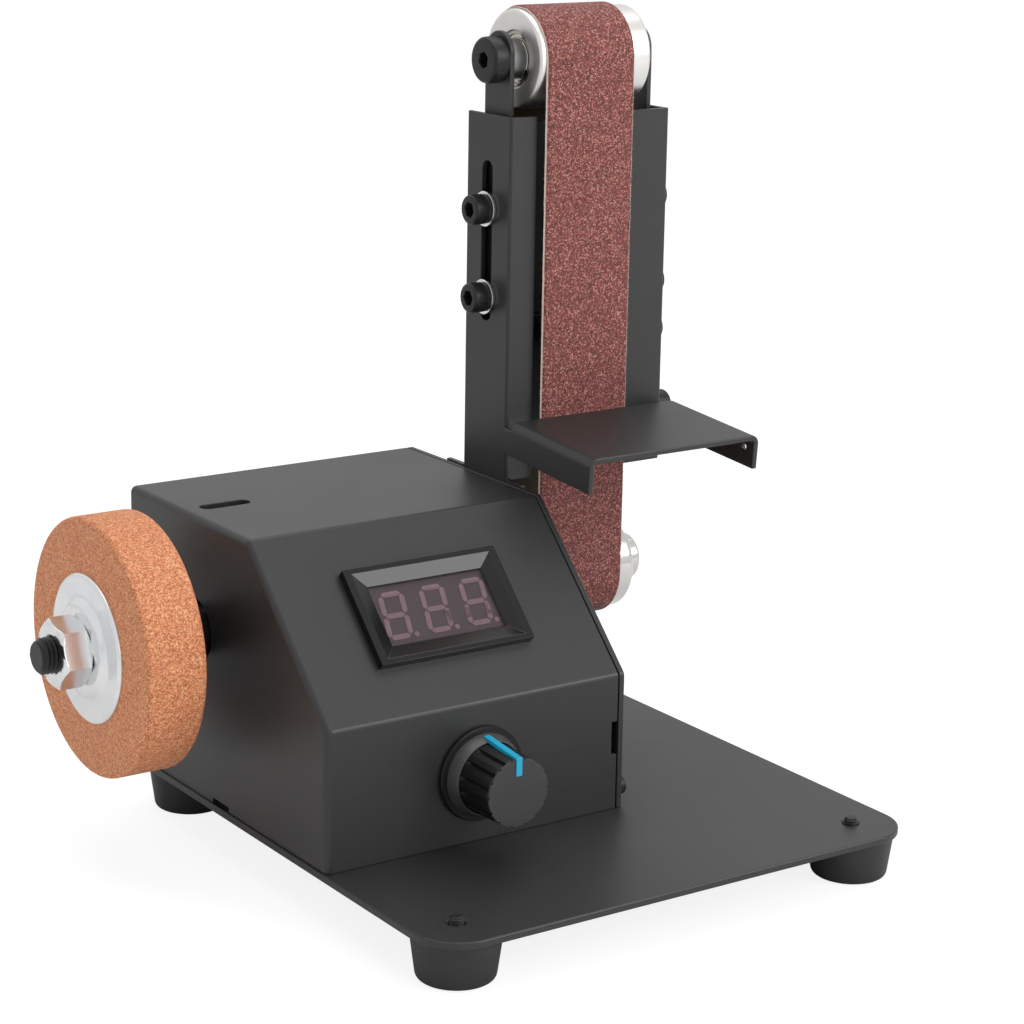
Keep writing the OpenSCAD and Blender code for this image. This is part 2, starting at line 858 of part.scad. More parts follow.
module column() {
    mount_z = spindle_z - mount_drop;
    slot_r = slot_w / 2;
    color(dark_paint) place() difference() {
        union() {
            translate([house_w, column_y, top_z])
                linear_extrude(column_h) channel();
            translate([house_w, spindle_y - mount_w / 2, mount_z])
                cube([column_t, mount_w, top_z - mount_z + 0.5]);
        }
        translate([house_w + column_t, column_y + column_d - column_t - 0.2, column_top - web_drop])
            cube([column_w - 2 * column_t, column_t + 1, web_drop + 1]);
        for (x = [house_w - 1, column_right - column_t - 1]) {
            for (z = [slot_z[0] + slot_r, slot_z[1] - slot_r])
                along_x(x, spindle_y, z) cylinder(h = column_t + 2, d = slot_w);
            translate([x, spindle_y - slot_r, slot_z[0] + slot_r])
                cube([column_t + 2, slot_w, slot_z[1] - slot_z[0] - slot_w]);
        }
        along_x(column_right - column_t - 1, spindle_y, platen_screw_z)
            cylinder(h = column_t + 2, d = m5[0] + 2 * fit);
        along_x(column_right - column_t - 1, pivot_y, pivot_z)
            cylinder(h = column_t + 2, d = m5[0] + 2 * fit);
        along_x(house_w - 1) cylinder(h = column_t + 2, d = boss_d + 2 * fit);
        at_motor_screws(house_w - 1) cylinder(h = column_t + 2, d = m4[0] + 2 * fit);
    }
}

module platen() {
    margin = 1;
    platen_z = table_z + 3;
    platen_h = column_top - 5 - platen_z;
    bar_x = belt_x + belt_w / 2;
    bar_y = spindle_y - platen_bar / 2;
    bar_z = platen_screw_z - platen_bar / 2;
    color(steel) place() difference() {
        union() {
            translate([belt_x + margin, platen_y, platen_z])
                cube([belt_w - 2 * margin, platen_t, platen_h]);
            translate([bar_x, platen_y + platen_t - 0.1, bar_z])
                cube([platen_bar, bar_y + platen_bar - platen_y - platen_t, platen_bar]);
            translate([bar_x, bar_y, bar_z])
                cube([column_right - column_t - bar_x, platen_bar, platen_bar]);
        }
        along_x(column_right - column_t - 12, spindle_y, platen_screw_z)
            cylinder(h = 13, d = m5[0] + 2 * fit);
    }
}

module platen_screw() {
    color(black) place() along_x(column_right, spindle_y, platen_screw_z) {
        translate([0, 0, washer_t]) cap_screw(m5, washer_t + column_t + 9);
        ring(washer_d, m5[0] + 2 * fit, washer_t);
    }
}

module sanding_belt() {
    color("#7d4641") place() push_x(belt_x, belt_w) difference() {
        belt_outline(belt_out_r);
        belt_outline(belt_in_r);
    }
}

module belt_outline(r) {
    translate([spindle_y - r, spindle_z]) square([2 * r, pulley_span]);
    for (z = [spindle_z, idler_z]) translate([spindle_y, z]) circle(r = r, $fn = 96);
}

// Tension fork and idler

module at_fork_screws() {
    for (z = screw_z) {
        translate([house_w, spindle_y, z]) rotate([0, -90, 0]) children();
        translate([column_right, spindle_y, z]) rotate([0, 90, 0]) children();
    }
}

module tension_fork() {
    tip_r = fork_w / 2;
    arm_top = idler_z + fork_tip;
    color(dark_paint) place() difference() {
        union() {
            for (x = [fork_left, fork_right - fork_t]) {
                translate([x, spindle_y - tip_r, web_z])
                    cube([fork_t, fork_w, arm_top - tip_r - web_z]);
                along_x(x, spindle_y, arm_top - tip_r) cylinder(h = fork_t, r = tip_r);
            }
            translate([fork_left, spindle_y - tip_r, web_z])
                cube([fork_right - fork_left, fork_w, fork_t]);
        }
        for (z = screw_z) along_x(fork_left - 1, spindle_y, z)
            cylinder(h = fork_right - fork_left + 2, d = m5[0] + 2 * fit);
        along_x(fork_left - 1, spindle_y, idler_z)
            cylinder(h = fork_right - fork_left + 2, d = m8[0] + 2 * fit);
    }
}

module fork_screws() {
    reach = washer_t + column_t + fork_gap + fork_t + m5_nut[1];
    color(black) place() at_fork_screws()
        translate([0, 0, washer_t + slip]) cap_screw(m5, reach + slip);
}

module fork_washers() {
    color(steel) place() at_fork_screws()
        translate([0, 0, slip]) ring(washer_d, m5[0] + 2 * fit, washer_t);
}

module fork_nuts() {
    color(steel) place() at_fork_screws()
        translate([0, 0, -column_t - fork_gap - fork_t - m5_nut[1]])
            rotate([0, 0, 30]) hex_nut(m5_nut[0], m5_nut[1], m5[0] + 2 * fit);
}

module idler_axle() {
    tip = 1.3;
    color(black) place() translate([fork_left, spindle_y, idler_z]) rotate([0, -90, 0])
        cap_screw(m8, fork_right - fork_left + tip);
}

module axle_spacers() {
    left = fork_left + fork_t;
    seat = pulley_x + bearing_recess - slip;
    right_seat = pulley_x + idler_l - bearing_recess + slip;
    right_end = fork_right - fork_t - m8_nut[1];
    color(steel) place() {
        along_x(left, spindle_y, idler_z) ring(spacer_d, m8[0] + 2 * fit, seat - left);
        along_x(right_seat, spindle_y, idler_z)
            ring(spacer_d, m8[0] + 2 * fit, right_end - right_seat);
    }
}

module axle_nut() {
    color(steel) place() along_x(fork_right - fork_t - m8_nut[1], spindle_y, idler_z)
        hex_nut(m8_nut[0], m8_nut[1], m8[0] + 2 * fit);
}

module idler_pulley() {
    seat = bearing_w + bearing_recess;
    edge_r = 1.1;
    hollow_r = bearing_seat_r - 0.8;
    color(steel) place() along_x(pulley_x, spindle_y, idler_z) rotate_extrude() polygon(concat(
        [[bearing_seat_r + fit, 0]],
        [for (a = [0 : 18 : 90])
            [pulley_r - edge_r + edge_r * sin(a), edge_r - edge_r * cos(a)]],
        [for (a = [90 : 18 : 180])
            [pulley_r - edge_r + edge_r * sin(a), idler_l - edge_r - edge_r * cos(a)]],
        [[bearing_seat_r + fit, idler_l], [bearing_seat_r + fit, idler_l - seat],
         [hollow_r, idler_l - seat], [hollow_r, seat], [bearing_seat_r + fit, seat]]
    ));
}

module idler_bearings() {
    color(steel) place() for (x = [pulley_x + bearing_recess,
                                   pulley_x + idler_l - bearing_recess - bearing_w])
        along_x(x, spindle_y, idler_z)
            ring(2 * bearing_seat_r, m8[0] + 2 * running, bearing_w);
}

// Work table

// Cross-section of the table seen from the front, with its corner on the origin
module table_section() {
    w = table_right - table_left;
    inner_r = table_bend_r - table_t;
    difference() {
        union() {
            square([w, flange_h - table_bend_r]);
            translate([table_bend_r, 0]) square([w - 2 * table_bend_r, flange_h]);
            for (x = [table_bend_r, w - table_bend_r])
                translate([x, flange_h - table_bend_r]) circle(r = table_bend_r);
        }
        translate([table_t, -1]) square([w - 2 * table_t, flange_h + 1 - table_bend_r]);
        translate([table_bend_r, -1]) square([w - 2 * table_bend_r, flange_h + 1 - table_t]);
        for (x = [table_bend_r, w - table_bend_r])
            translate([x, flange_h - table_bend_r]) circle(r = inner_r);
    }
}

// Turns the level table's shape about its screw to where the table hangs
module drooped() {
    translate([0, pivot_y, pivot_z]) rotate([table_droop, 0, 0])
        translate([0, -pivot_y, -pivot_z]) children();
}

module work_table() {
    low = table_z - flange_h;
    left_tail = 4;
    color(dark_paint) place() drooped() difference() {
        union() {
            translate([table_left, table_back, low]) rotate([90, 0, 0])
                linear_extrude(table_d) table_section();
            translate([table_left, table_back - 0.5, low])
                cube([table_t, left_tail, flange_h - table_bend_r]);
            translate([table_right - table_t, table_back - 0.5, low])
                cube([table_t, pivot_y - table_back + 0.5, flange_h - table_bend_r]);
            along_x(table_right - table_t, pivot_y, pivot_z) cylinder(h = table_t, d = flange_h);
        }
        along_x(table_right - table_t - 1, pivot_y, pivot_z)
            cylinder(h = table_t + 2, d = m5[0] + 2 * running);
        along_x(table_right - table_t - 1, table_front + 4.5, table_z - 4.6)
            cylinder(h = table_t + 2, d = 2);
    }
}

module table_screw() {
    color(black) place() along_x(table_right + slip, pivot_y, pivot_z)
        cap_screw(m5, table_t + table_slip + column_t + m5_nut[1] + slip);
}

module table_nut() {
    color(steel) place()
        along_x(column_right - column_t - m5_nut[1], pivot_y, pivot_z)
            hex_nut(m5_nut[0], m5_nut[1], m5[0] + 2 * fit);
}

// Meter

module meter_bezel() {
    color(black) place() on_slope() difference() {
        union() {
            linear_extrude(bezel_out) square([bezel_w, bezel_h], center = true);
            translate([0, 0, -sleeve_l]) linear_extrude(sleeve_l + 0.1)
                square(meter_sleeve, center = true);
        }
        translate([0, 0, -sleeve_l - 1]) linear_extrude(sleeve_l + 1)
            square(meter_sleeve - [2 * sleeve_t, 2 * sleeve_t], center = true);
        translate([0, 0, -0.1]) linear_extrude(bezel_out + 1)
            square([window_w, window_h], center = true);
        hull() {
            translate([0, 0, digit_t + window_t]) linear_extrude(0.01)
                square([window_w, window_h], center = true);
            translate([0, 0, bezel_out]) linear_extrude(0.01)
                square([window_w + 2 * bevel_w, window_h + 2 * bevel_w], center = true);
        }
    }
}

module meter_window() {
    color(black) place() on_slope() translate([0, 0, digit_t])
        linear_extrude(window_t)
            square([window_w - 2 * fit, window_h - 2 * fit], center = true);
}

module meter_display() {
    color(black) place() on_slope() translate([0, 0, -sleeve_l])
        linear_extrude(sleeve_l) square([window_w + 1.6, window_h + 1], center = true);
}

// Bar of a digit with pointed ends, lying along X
module bar(l, w) {
    polygon([
        [-l / 2, 0], [-l / 2 + w / 2, w / 2], [l / 2 - w / 2, w / 2],
        [l / 2, 0], [l / 2 - w / 2, -w / 2], [-l / 2 + w / 2, -w / 2]
    ]);
}

module digit() {
    stroke = 1.5;
    half = (digit_h - stroke) / 2;
    wide = 6.4;
    lean = 0.17;
    gap = 0.35;
    for (row = [-1, 0, 1])
        translate([row * half * lean, row * half]) bar(wide - gap, stroke);
    for (row = [-1, 1], side = [-1, 1])
        translate([row * half / 2 * lean + side * wide / 2, row * half / 2])
            rotate(90 - atan(lean)) bar(half - gap, stroke);
    translate([wide / 2 - half * lean + 1.8, -half]) circle(d = stroke, $fn = 16);
}

module meter_digits() {
    color("#8a6a72") place() on_slope() linear_extrude(digit_t)
        for (i = [-1, 0, 1]) translate([i * digit_pitch, 0]) digit();
}

module meter_board() {
    color("#1f5a34") place() on_slope() translate([0, 0, -sleeve_l - board_t]) {
        linear_extrude(board_t) square(meter_sleeve, center = true);
        translate([-meter_plug[0] / 2, -4, -meter_plug[2]])
            cube([meter_plug[0], meter_plug[1], meter_plug[2] + 0.1]);
    }
}

// Speed dial and knob

// Turns a shape drawn along Z so that it runs back from y, on the dial's axis
module along_dial(y) {
    translate([knob_x, y, knob_z]) rotate([-90, 0, 0]) children();
}

module speed_dial() {
    color(steel) place() difference() {
        union() {
            along_dial(-bushing_out) cylinder(h = bushing_out + sheet + 1, d = bushing_d);
            along_dial(sheet) cylinder(h = dial_l, d = dial_d);
            for (x = dial_tag_x)
                translate([knob_x + x - 1, sheet + 5, knob_z - dial_d / 2 - dial_tag])
                    cube([2, 0.8, dial_tag + 4]);
        }
        along_dial(-bushing_out - 1) cylinder(h = bushing_out + sheet + 5,
            d = dial_shaft_d + 2 * running);
    }
}

module dial_nut() {
    color(steel) place() along_dial(-dial_nut_t)
        hex_nut(dial_nut_af, dial_nut_t, bushing_d + 2 * fit);
}

module dial_shaft() {
    color(steel) place() along_dial(-knob_out + 4)
        cylinder(h = knob_out - 4 + sheet + 3, d = dial_shaft_d);
}

// The knob's parts, drawn along Z from its base to its face
knob_gap = 0.8;
knob_l = knob_out - knob_gap;
cap_t = 0.6;
skirt_z = [0.9, 4.4];
skirt_d = knob_base_d - 3;
grip_d = knob_d + 1.2;
pointer_proud = 0.3;
pointer_deep = 0.9;

module along_knob() {
    translate([knob_x, -knob_gap, knob_z]) rotate([90, 0, 0]) children();
}

module pointer_shape(clear) {
    side_r = skirt_d / 2 - 0.5;
    face_r = knob_d / 2 + 0.1;
    translate([-pointer_w / 2 - clear, 0, 0]) rotate([90, 0, 90])
        linear_extrude(pointer_w + 2 * clear) polygon([
            [side_r + pointer_proud, skirt_z[0] + 1.2],
            [face_r + pointer_proud, knob_l + pointer_proud],
            [face_r / 2, knob_l + pointer_proud],
            [face_r / 2 - clear, knob_l - pointer_deep - clear],
            [face_r - pointer_deep - clear, knob_l - pointer_deep - clear],
            [side_r - pointer_deep - clear, skirt_z[0] + 1.2 - clear]
        ]);
}

module knob_body() {
    color(black) place() along_knob() difference() {
        union() {
            cylinder(h = skirt_z[0], d = knob_base_d);
            cylinder(h = knob_l - cap_t, d1 = grip_d, d2 = knob_d + 0.2);
        }
        for (i = [1 : knob_grooves])
            rotate([0, 0, 90 + 360 * (i - 0.5) / knob_grooves])
                translate([grip_d / 2 - 0.55, -0.45, skirt_z[1]]) cube([3, 0.9, knob_l]);
        translate([0, 0, -1]) cylinder(h = bushing_out - knob_gap + 2, d = dial_nut_af + 4);
        cylinder(h = knob_l - 2.5, d = dial_shaft_d + 2 * fit);
        pointer_shape(fit);
    }
}

module knob_skirt() {
    color("#5c5d5e") place() along_knob() difference() {
        rotate_extrude() polygon([
            [grip_d / 2 + 0.1, skirt_z[0]], [skirt_d / 2, skirt_z[0]],
            [grip_d / 2 + 0.4, skirt_z[1]], [grip_d / 2 + 0.1, skirt_z[1]]
        ]);
        pointer_shape(fit);
    }
}

module knob_cap() {
    color("#4a4b4c") place() along_knob() difference() {
        translate([0, 0, knob_l - cap_t]) cylinder(h = cap_t, d = knob_d);
        for (i = [1 : knob_grooves])
            rotate([0, 0, 90 + 360 * (i - 0.5) / knob_grooves])
                translate([knob_d / 2 - 0.35, -0.35, knob_l - 1]) cube([2, 0.7, 2]);
        pointer_shape(fit);
    }
}

module knob_pointer() {
    color("#18a5cc") place() along_knob() pointer_shape(0);
}

// Power jack and control board

module along_jack(y) {
    translate([jack_x, y, jack_z]) rotate([-90, 0, 0]) children();
}

module power_jack() {
    color(black) place() {
        difference() {
            union() {
                along_jack(house_d - jack_l) cylinder(h = jack_l + 0.5, d = jack_d);
                along_jack(house_d) cylinder(h = jack_flange[1], d = jack_flange[0]);
                along_jack(house_d - sheet - 3) hexagon(jack_d + 3, 3);
            }
            along_jack(house_d - jack_hole[1]) cylinder(h = jack_hole[1] + 3, d = jack_hole[0]);
        }
        along_jack(house_d - jack_hole[1] - 0.5) cylinder(h = jack_hole[1], d = 2);
        for (x = jack_tag_x)
            translate([jack_x + x - 1, house_d - jack_l - jack_tag, jack_z - 0.4])
                cube([2, jack_tag + 0.5, 0.8]);
    }
}

module at_board_corners() {
    for (x = [board_x + 4, board_x + board_w - 4], y = [board_y + 4, board_y + board_d - 4])
        translate([x, y, 0]) children();
}

module control_board() {
    color("#1f5a34") place() difference() {
        translate([board_x, board_y, board_z]) cube([board_w, board_d, board_t]);
        at_board_corners() translate([0, 0, board_z - 1])
            cylinder(h = board_t + 2, d = m3[0] + 2 * fit);
    }
}

module board_standoffs() {
    color(steel) place() at_board_corners() {
        translate([0, 0, floor_z]) cylinder(h = standoff_h, d = 6);
        translate([0, 0, board_z - 0.1]) cylinder(h = board_t + 0.2, d = m3[0]);
        translate([0, 0, board_z + board_t]) cylinder(h = 1.2, d = 5);
    }
}

// Terminal block, capacitors and the heat sink with its fins, as shares of the board
block = [4 / 7 * board_w, 2 / 9 * board_d, 10];
block_x = board_x + board_w * 0.18;
block_y = board_y + board_d * 0.75;
capacitor = [10, 14];
sink = [board_w * 0.3, 3, 16];
sink_fin = [1.5, 8];

module board_parts() {
    on_board = board_z + board_t;
    color(black) place() {
        for (x = [0.16, 0.375])
            translate([board_x + x * board_w, board_y + board_d * 0.36, on_board])
                cylinder(h = capacitor[1], d = capacitor[0]);
        translate([block_x, block_y, on_board]) cube(block);
        translate([board_x + board_w * 0.6, board_y + board_d / 4, on_board]) {
            cube(sink);
            for (x = [0 : 4]) translate([x * (sink[0] - sink_fin[0]) / 4, 0, 0])
                cube([sink_fin[0], sink[1] + sink_fin[1], sink[2]]);
        }
    }
}

// Ends of the leads, a little off what they are soldered or clamped to
lead_gap = 0.3;
port_z = board_z + board_t + block[2] + lead_gap;
port_y = block_y + block[1] / 2;
port_x = [for (i = [0 : 3]) block_x + block[0] * (0.1 + i / 6)];
terminal_end = motor_x - terminal[0] - lead_gap;
jack_end = house_d - jack_l - jack_tag - lead_gap;

// Places on the leads' way: by the left wall, facing a terminal and round the motor
wall_x = terminal_end / 2;
facing_x = terminal_end * 0.75;
round_y = spindle_y - motor_d / 2 - 2;
under_z = spindle_z - motor_d / 2 - 4.5;
signal_y = board_y + 0.64 * board_d;
meter_depth = sleeve_l + board_t + meter_plug[2] + 0.6;
meter_back = [
    slope / 2 + meter_depth * sin(45) - 0.8, top_z - slope / 2 - meter_depth * cos(45) - 0.9
];

// Leads from the jack to the board and from the board to the motor
module power_leads() {
    color("#a02020") place() {
        for (i = [0, 1]) lead([
            [port_x[i], port_y, port_z], [port_x[i], port_y, port_z + 3],
            [block_x + 4 * i, round_y + 3, port_z + 4.5],
            [jack_x - 2 + 3 * i, spindle_y - 8, under_z],
            [jack_x - 5 + 4 * i, spindle_y + 8, jack_z + 2],
            [jack_x + jack_tag_x[i], jack_end - 5, jack_z],
            [jack_x + jack_tag_x[i], jack_end, jack_z]
        ], lead_d);
        lead([
            [port_x[3], port_y, port_z], [port_x[3], port_y, port_z + 11],
            [block_x + 8, port_y, spindle_z - 10], [motor_x - 2, round_y, spindle_z - 5.5],
            [wall_x, terminal_y[0] - 3, spindle_z], [facing_x, terminal_y[0], spindle_z],
            [terminal_end, terminal_y[0], spindle_z]
        ], lead_d);
        lead([
            [port_x[2], port_y, port_z], [port_x[2], port_y, port_z + 6],
            [block_x + 5, port_y + 1, port_z + 11], [motor_x - 4, round_y + 4, under_z + 10],
            [wall_x + 1, spindle_y - 10, under_z + 10], [wall_x, spindle_y + 2, under_z + 10],
            [wall_x, terminal_y[1] - 3, spindle_z - 7.5], [facing_x, terminal_y[1], spindle_z],
            [terminal_end, terminal_y[1], spindle_z]
        ], lead_d);
    }
}

// Leads from the meter and the dial to the board
module signal_leads() {
    on_board = board_z + board_t + lead_gap;
    color("#c0a020") place() {
        for (i = [0, 1]) lead([
            [meter_x - 2 + 3 * i, meter_back[0], meter_back[1]],
            [meter_x - 1 + 3 * i, meter_back[0] + 4.5, meter_back[1] - 8.5],
            [meter_x + 2.5 + 3 * i, signal_y + 1, meter_back[1] - 20.5],
            [meter_x + 2.5 + 3 * i, signal_y, on_board + 7],
            [meter_x + 2.5 + 3 * i, signal_y, on_board]
        ], signal_d);
        for (x = dial_tag_x) lead([
            [knob_x + x, sheet + 5.4, knob_z - dial_d / 2 - dial_tag - lead_gap],
            [knob_x + x, board_y - 6.5, floor_z + 3.3], [knob_x + x, board_y - 2, floor_z + 1.8],
            [knob_x + x, board_y + 3, floor_z + 3.3], [knob_x + x, board_y + 5, board_z - lead_gap]
        ], signal_d);
    }
}

base_plate();
rubber_feet();
foot_screws();
housing_cover();
right_panel();
panel_screws();
base_screws();
base_nuts();
motor_can();
motor_magnets();
motor_end_cap();
motor_bearings();
motor_brushes();
motor_terminals();
motor_screws();
motor_shaft();
armature();
armature_windings();
commutator();
wheel_arbor();
inner_flange();
grinding_wheel();
outer_flange();
arbor_nut();
drive_pulley();
grub_screws();
column();
platen();
platen_screw();
sanding_belt();
tension_fork();
fork_screws();
fork_washers();
fork_nuts();
idler_axle();
axle_spacers();
axle_nut();
idler_pulley();
idler_bearings();
work_table();
table_screw();
table_nut();
meter_bezel();
meter_window();
meter_digits();
meter_display();
meter_board();
speed_dial();
dial_nut();
dial_shaft();
knob_body();
knob_skirt();
knob_cap();
knob_pointer();
power_jack();
control_board();
board_parts();
board_standoffs();
power_leads();
signal_leads();
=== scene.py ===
"""The looks of a mini belt sander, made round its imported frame.

X runs along the spindle, -Y is the front and Z is up. Sizes are in millimetres, and MM turns
them into Blender's metres.
"""
import json
import math
import random

import bmesh
import bpy
from mathutils import Matrix, Vector

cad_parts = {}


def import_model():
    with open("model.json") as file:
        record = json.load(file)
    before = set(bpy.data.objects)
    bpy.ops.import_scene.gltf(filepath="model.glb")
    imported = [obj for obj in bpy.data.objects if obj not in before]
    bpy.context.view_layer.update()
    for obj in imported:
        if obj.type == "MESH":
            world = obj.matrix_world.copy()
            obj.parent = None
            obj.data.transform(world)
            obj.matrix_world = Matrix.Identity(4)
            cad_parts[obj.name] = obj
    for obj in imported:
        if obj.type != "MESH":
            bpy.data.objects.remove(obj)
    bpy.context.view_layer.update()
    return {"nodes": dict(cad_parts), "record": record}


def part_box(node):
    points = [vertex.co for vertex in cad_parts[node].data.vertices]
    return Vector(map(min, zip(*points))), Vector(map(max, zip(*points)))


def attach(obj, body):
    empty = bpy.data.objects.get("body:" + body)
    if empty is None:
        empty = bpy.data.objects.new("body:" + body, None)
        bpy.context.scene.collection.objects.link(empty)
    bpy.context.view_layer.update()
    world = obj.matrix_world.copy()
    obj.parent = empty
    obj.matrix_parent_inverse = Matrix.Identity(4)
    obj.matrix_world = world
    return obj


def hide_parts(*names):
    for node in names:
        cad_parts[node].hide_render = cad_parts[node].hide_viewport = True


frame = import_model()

MM = 0.001
NODES = frame["nodes"]
BODY = {
    node: body
    for body, nodes in frame["record"]["behaviour"]["bodies"].items()
    for node in nodes
}
SLOT = {part["node"]: part["material_slot"] for part in frame["record"]["subparts"]}
RIGHT, LEFT, FRONT = Vector((1, 0, 0)), Vector((-1, 0, 0)), Vector((0, -1, 0))
UP, DOWN = Vector((0, 0, 1)), Vector((0, 0, -1))
CREASE = 32  # degrees between faces from which an edge is shaded sharp
WELD = 0.002 * MM  # corners this near to each other are one
SIDES = 72  # points round a screw or nut
FLOOR_SINK = 0.02 * MM  # how far the floor lies under the feet


def middle(node):
    """The middle of a CAD node's box, in metres."""
    low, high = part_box(node)
    return (low + high) / 2


def sizes(node):
    """The width, depth and height of a CAD node's box."""
    low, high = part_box(node)
    return (high - low) / MM


SPINDLE = middle("drive_pulley")
IDLER = middle("idler_pulley")


# Nodes, for finishes and for shapes


class Wire:
    """A node's output. Arithmetic on wires of numbers adds Math nodes."""

    def __init__(self, recipe, socket):
        self.recipe, self.socket = recipe, socket

    def math(self, operation, *values):
        return self.recipe.node("ShaderNodeMath", {"operation": operation},
                                dict(enumerate(values)))

    def __add__(self, other):
        return self.math("ADD", self, other)

    def __sub__(self, other):
        return self.math("SUBTRACT", self, other)

    def __mul__(self, other):
        return self.math("MULTIPLY", self, other)

    def __truediv__(self, other):
        return self.math("DIVIDE", self, other)

    def __gt__(self, other):
        return self.math("GREATER_THAN", self, other)

    def __lt__(self, other):
        return self.math("LESS_THAN", self, other)

    __radd__ = __add__


class Recipe:
    """A tree of nodes that is being written."""

    def __init__(self, tree):
        self.tree = tree

    def node(self, kind, settings=None, feeds=None, output=0):
        """Adds a node, sets it up, feeds its sockets and gives its output."""
        node = self.tree.nodes.new(kind)
        for key, value in (settings or {}).items():
            if key == "stops":
                self.set_stops(node.color_ramp.elements, value)
            else:
                setattr(node, key, value)
        for key, value in (feeds or {}).items():
            self.feed(node.inputs[key], value)
        return Wire(self, node.outputs[output])

    def feed(self, socket, value):
        if isinstance(value, Wire):
            self.tree.links.new(value.socket, socket)
        else:
            socket.default_value = value

    @staticmethod
    def set_stops(elements, stops):
        for place, _ in stops[1:-1]:
            elements.new(place)
        elements[0].position, elements[-1].position = stops[0][0], stops[-1][0]
        for element, (_, colour) in zip(elements, stops):
            element.color = (*colour, 1)


class Finish(Recipe):
    """A material with one principled shader."""

    def __init__(self, name, colour, **constants):
        self.material = bpy.data.materials.new(name)
        self.material.use_nodes = True
        super().__init__(self.material.node_tree)
        self.shader = self.tree.nodes["Principled BSDF"]
        self.shader.inputs["Base Color"].default_value = (*colour, 1)
        for key, value in constants.items():
            self.shader.inputs[key.replace("_", " ")].default_value = value
        self.place = self.node("ShaderNodeTexCoord", output="Object")

    def set(self, name, wire):
        self.feed(self.shader.inputs[name], wire)

    def noise(self, size, detail, place=None):
        return self.node("ShaderNodeTexNoise", feeds={
            "Vector": place or self.place, "Scale": 1 / (size * MM), "Detail": detail,
            "Roughness": 0.5})

    def cells(self, size, output="Color", feature="F1"):
        return self.node("ShaderNodeTexVoronoi", {"feature": feature},
                         {"Vector": self.place, "Scale": 1 / (size * MM)}, output)

    def stretched(self, scale, centre=(0, 0, 0)):
        """The place on the piece, measured from a centre in metres and stretched."""
        moved = self.node("ShaderNodeVectorMath", {"operation": "SUBTRACT"},
                          {0: self.place, 1: tuple(centre)})
        return self.node("ShaderNodeVectorMath", {"operation": "MULTIPLY"}, {0: moved, 1: scale})

    def ramp(self, value, *stops):
        return self.node("ShaderNodeValToRGB", {"stops": stops}, {"Fac": value})

    def mixed(self, share, first, second):
        return self.node("ShaderNodeMix", {"data_type": "RGBA", "blend_type": "MIX"},
                         {0: share, 6: colour_of(first), 7: colour_of(second)}, 2)

    def spread(self, value, low, high):
        """A wire of 0 to 1 spread over a range."""
        return self.node("ShaderNodeMapRange",
                         feeds={"Value": value, "To Min": low, "To Max": high})

    def bump(self, height, depth):
        """A relief whose full height is the depth."""
        return self.node("ShaderNodeBump", feeds={
            "Height": height, "Distance": depth * MM, "Strength": 1.0})


def colour_of(value):
    return value if isinstance(value, Wire) else (*value, 1)


# Finishes


def powder_coat():
    """Satin dark grey powder coat: a fine orange peel and a few pale specks."""
    coat = Finish("powder_coat", (0.02, 0.02, 0.02), IOR=1.5)
    peel = coat.noise(0.55, 3)
    cloud = coat.noise(30, 4)
    dust = coat.cells(5.5, "Distance")
    speck = (dust < 0.022) * coat.spread(coat.noise(9, 1), 0, 1)
    tone = coat.mixed(cloud, (0.0165, 0.0165, 0.0165), (0.0235, 0.0233, 0.0232))
    tone = coat.mixed(peel * 0.35, tone, (0.034, 0.034, 0.034))
    coat.set("Base Color", coat.mixed(speck, tone, (0.12, 0.12, 0.12)))
    coat.set("Roughness", coat.spread(cloud, 0.37, 0.46))
    coat.set("Normal", coat.bump(peel, 0.022))
    return coat.material


def rubber():
    stuff = Finish("rubber", (0.012, 0.012, 0.012))
    mottle = stuff.noise(6, 4)
    stuff.set("Base Color", stuff.mixed(mottle, (0.009, 0.009, 0.009), (0.019, 0.019, 0.019)))
    stuff.set("Roughness", stuff.spread(stuff.noise(1.4, 3), 0.42, 0.6))
    stuff.set("Normal", stuff.bump(stuff.noise(0.5, 3), 0.02))
    return stuff.material


def black_oxide():
    """Oiled black steel, rubbed a little on its high spots."""
    steel = Finish("black_oxide", (0.02, 0.02, 0.02), IOR=1.42)
    rub = steel.noise(1.1, 4)
    steel.set("Base Color", steel.mixed(rub, (0.004, 0.004, 0.005), (0.016, 0.016, 0.017)))
    steel.set("Roughness", steel.spread(rub, 0.34, 0.50))
    steel.set("Normal", steel.bump(steel.noise(0.35, 3), 0.012))
    return steel.material


def bright_metal(name, dark, light, rough, axis=None, ring_size=0.25, relief=0.006):
    """Metal with soft clouds, and with fine turned rings if it has an axis along X."""
    metal = Finish(name, light, Metallic=1.0)
    cloud = metal.noise(7, 4)
    metal.set("Base Color", metal.mixed(cloud, dark, light))
    if axis is None:
        marks = metal.noise(0.6, 4)
    else:
        from_axis = metal.stretched((0, 1, 1), axis)
        radius = metal.node("ShaderNodeVectorMath", {"operation": "LENGTH"},
                            {0: from_axis}, "Value")
        along = metal.node("ShaderNodeSeparateXYZ", feeds={0: metal.place})
        spot = metal.node("ShaderNodeCombineXYZ", feeds={0: radius, 1: along})
        marks = metal.noise(ring_size, 3, spot)
    metal.set("Roughness", metal.spread(marks * 0.6 + cloud * 0.4, rough - 0.07, rough + 0.09))
    metal.set("Normal", metal.bump(marks, relief))
    return metal.material


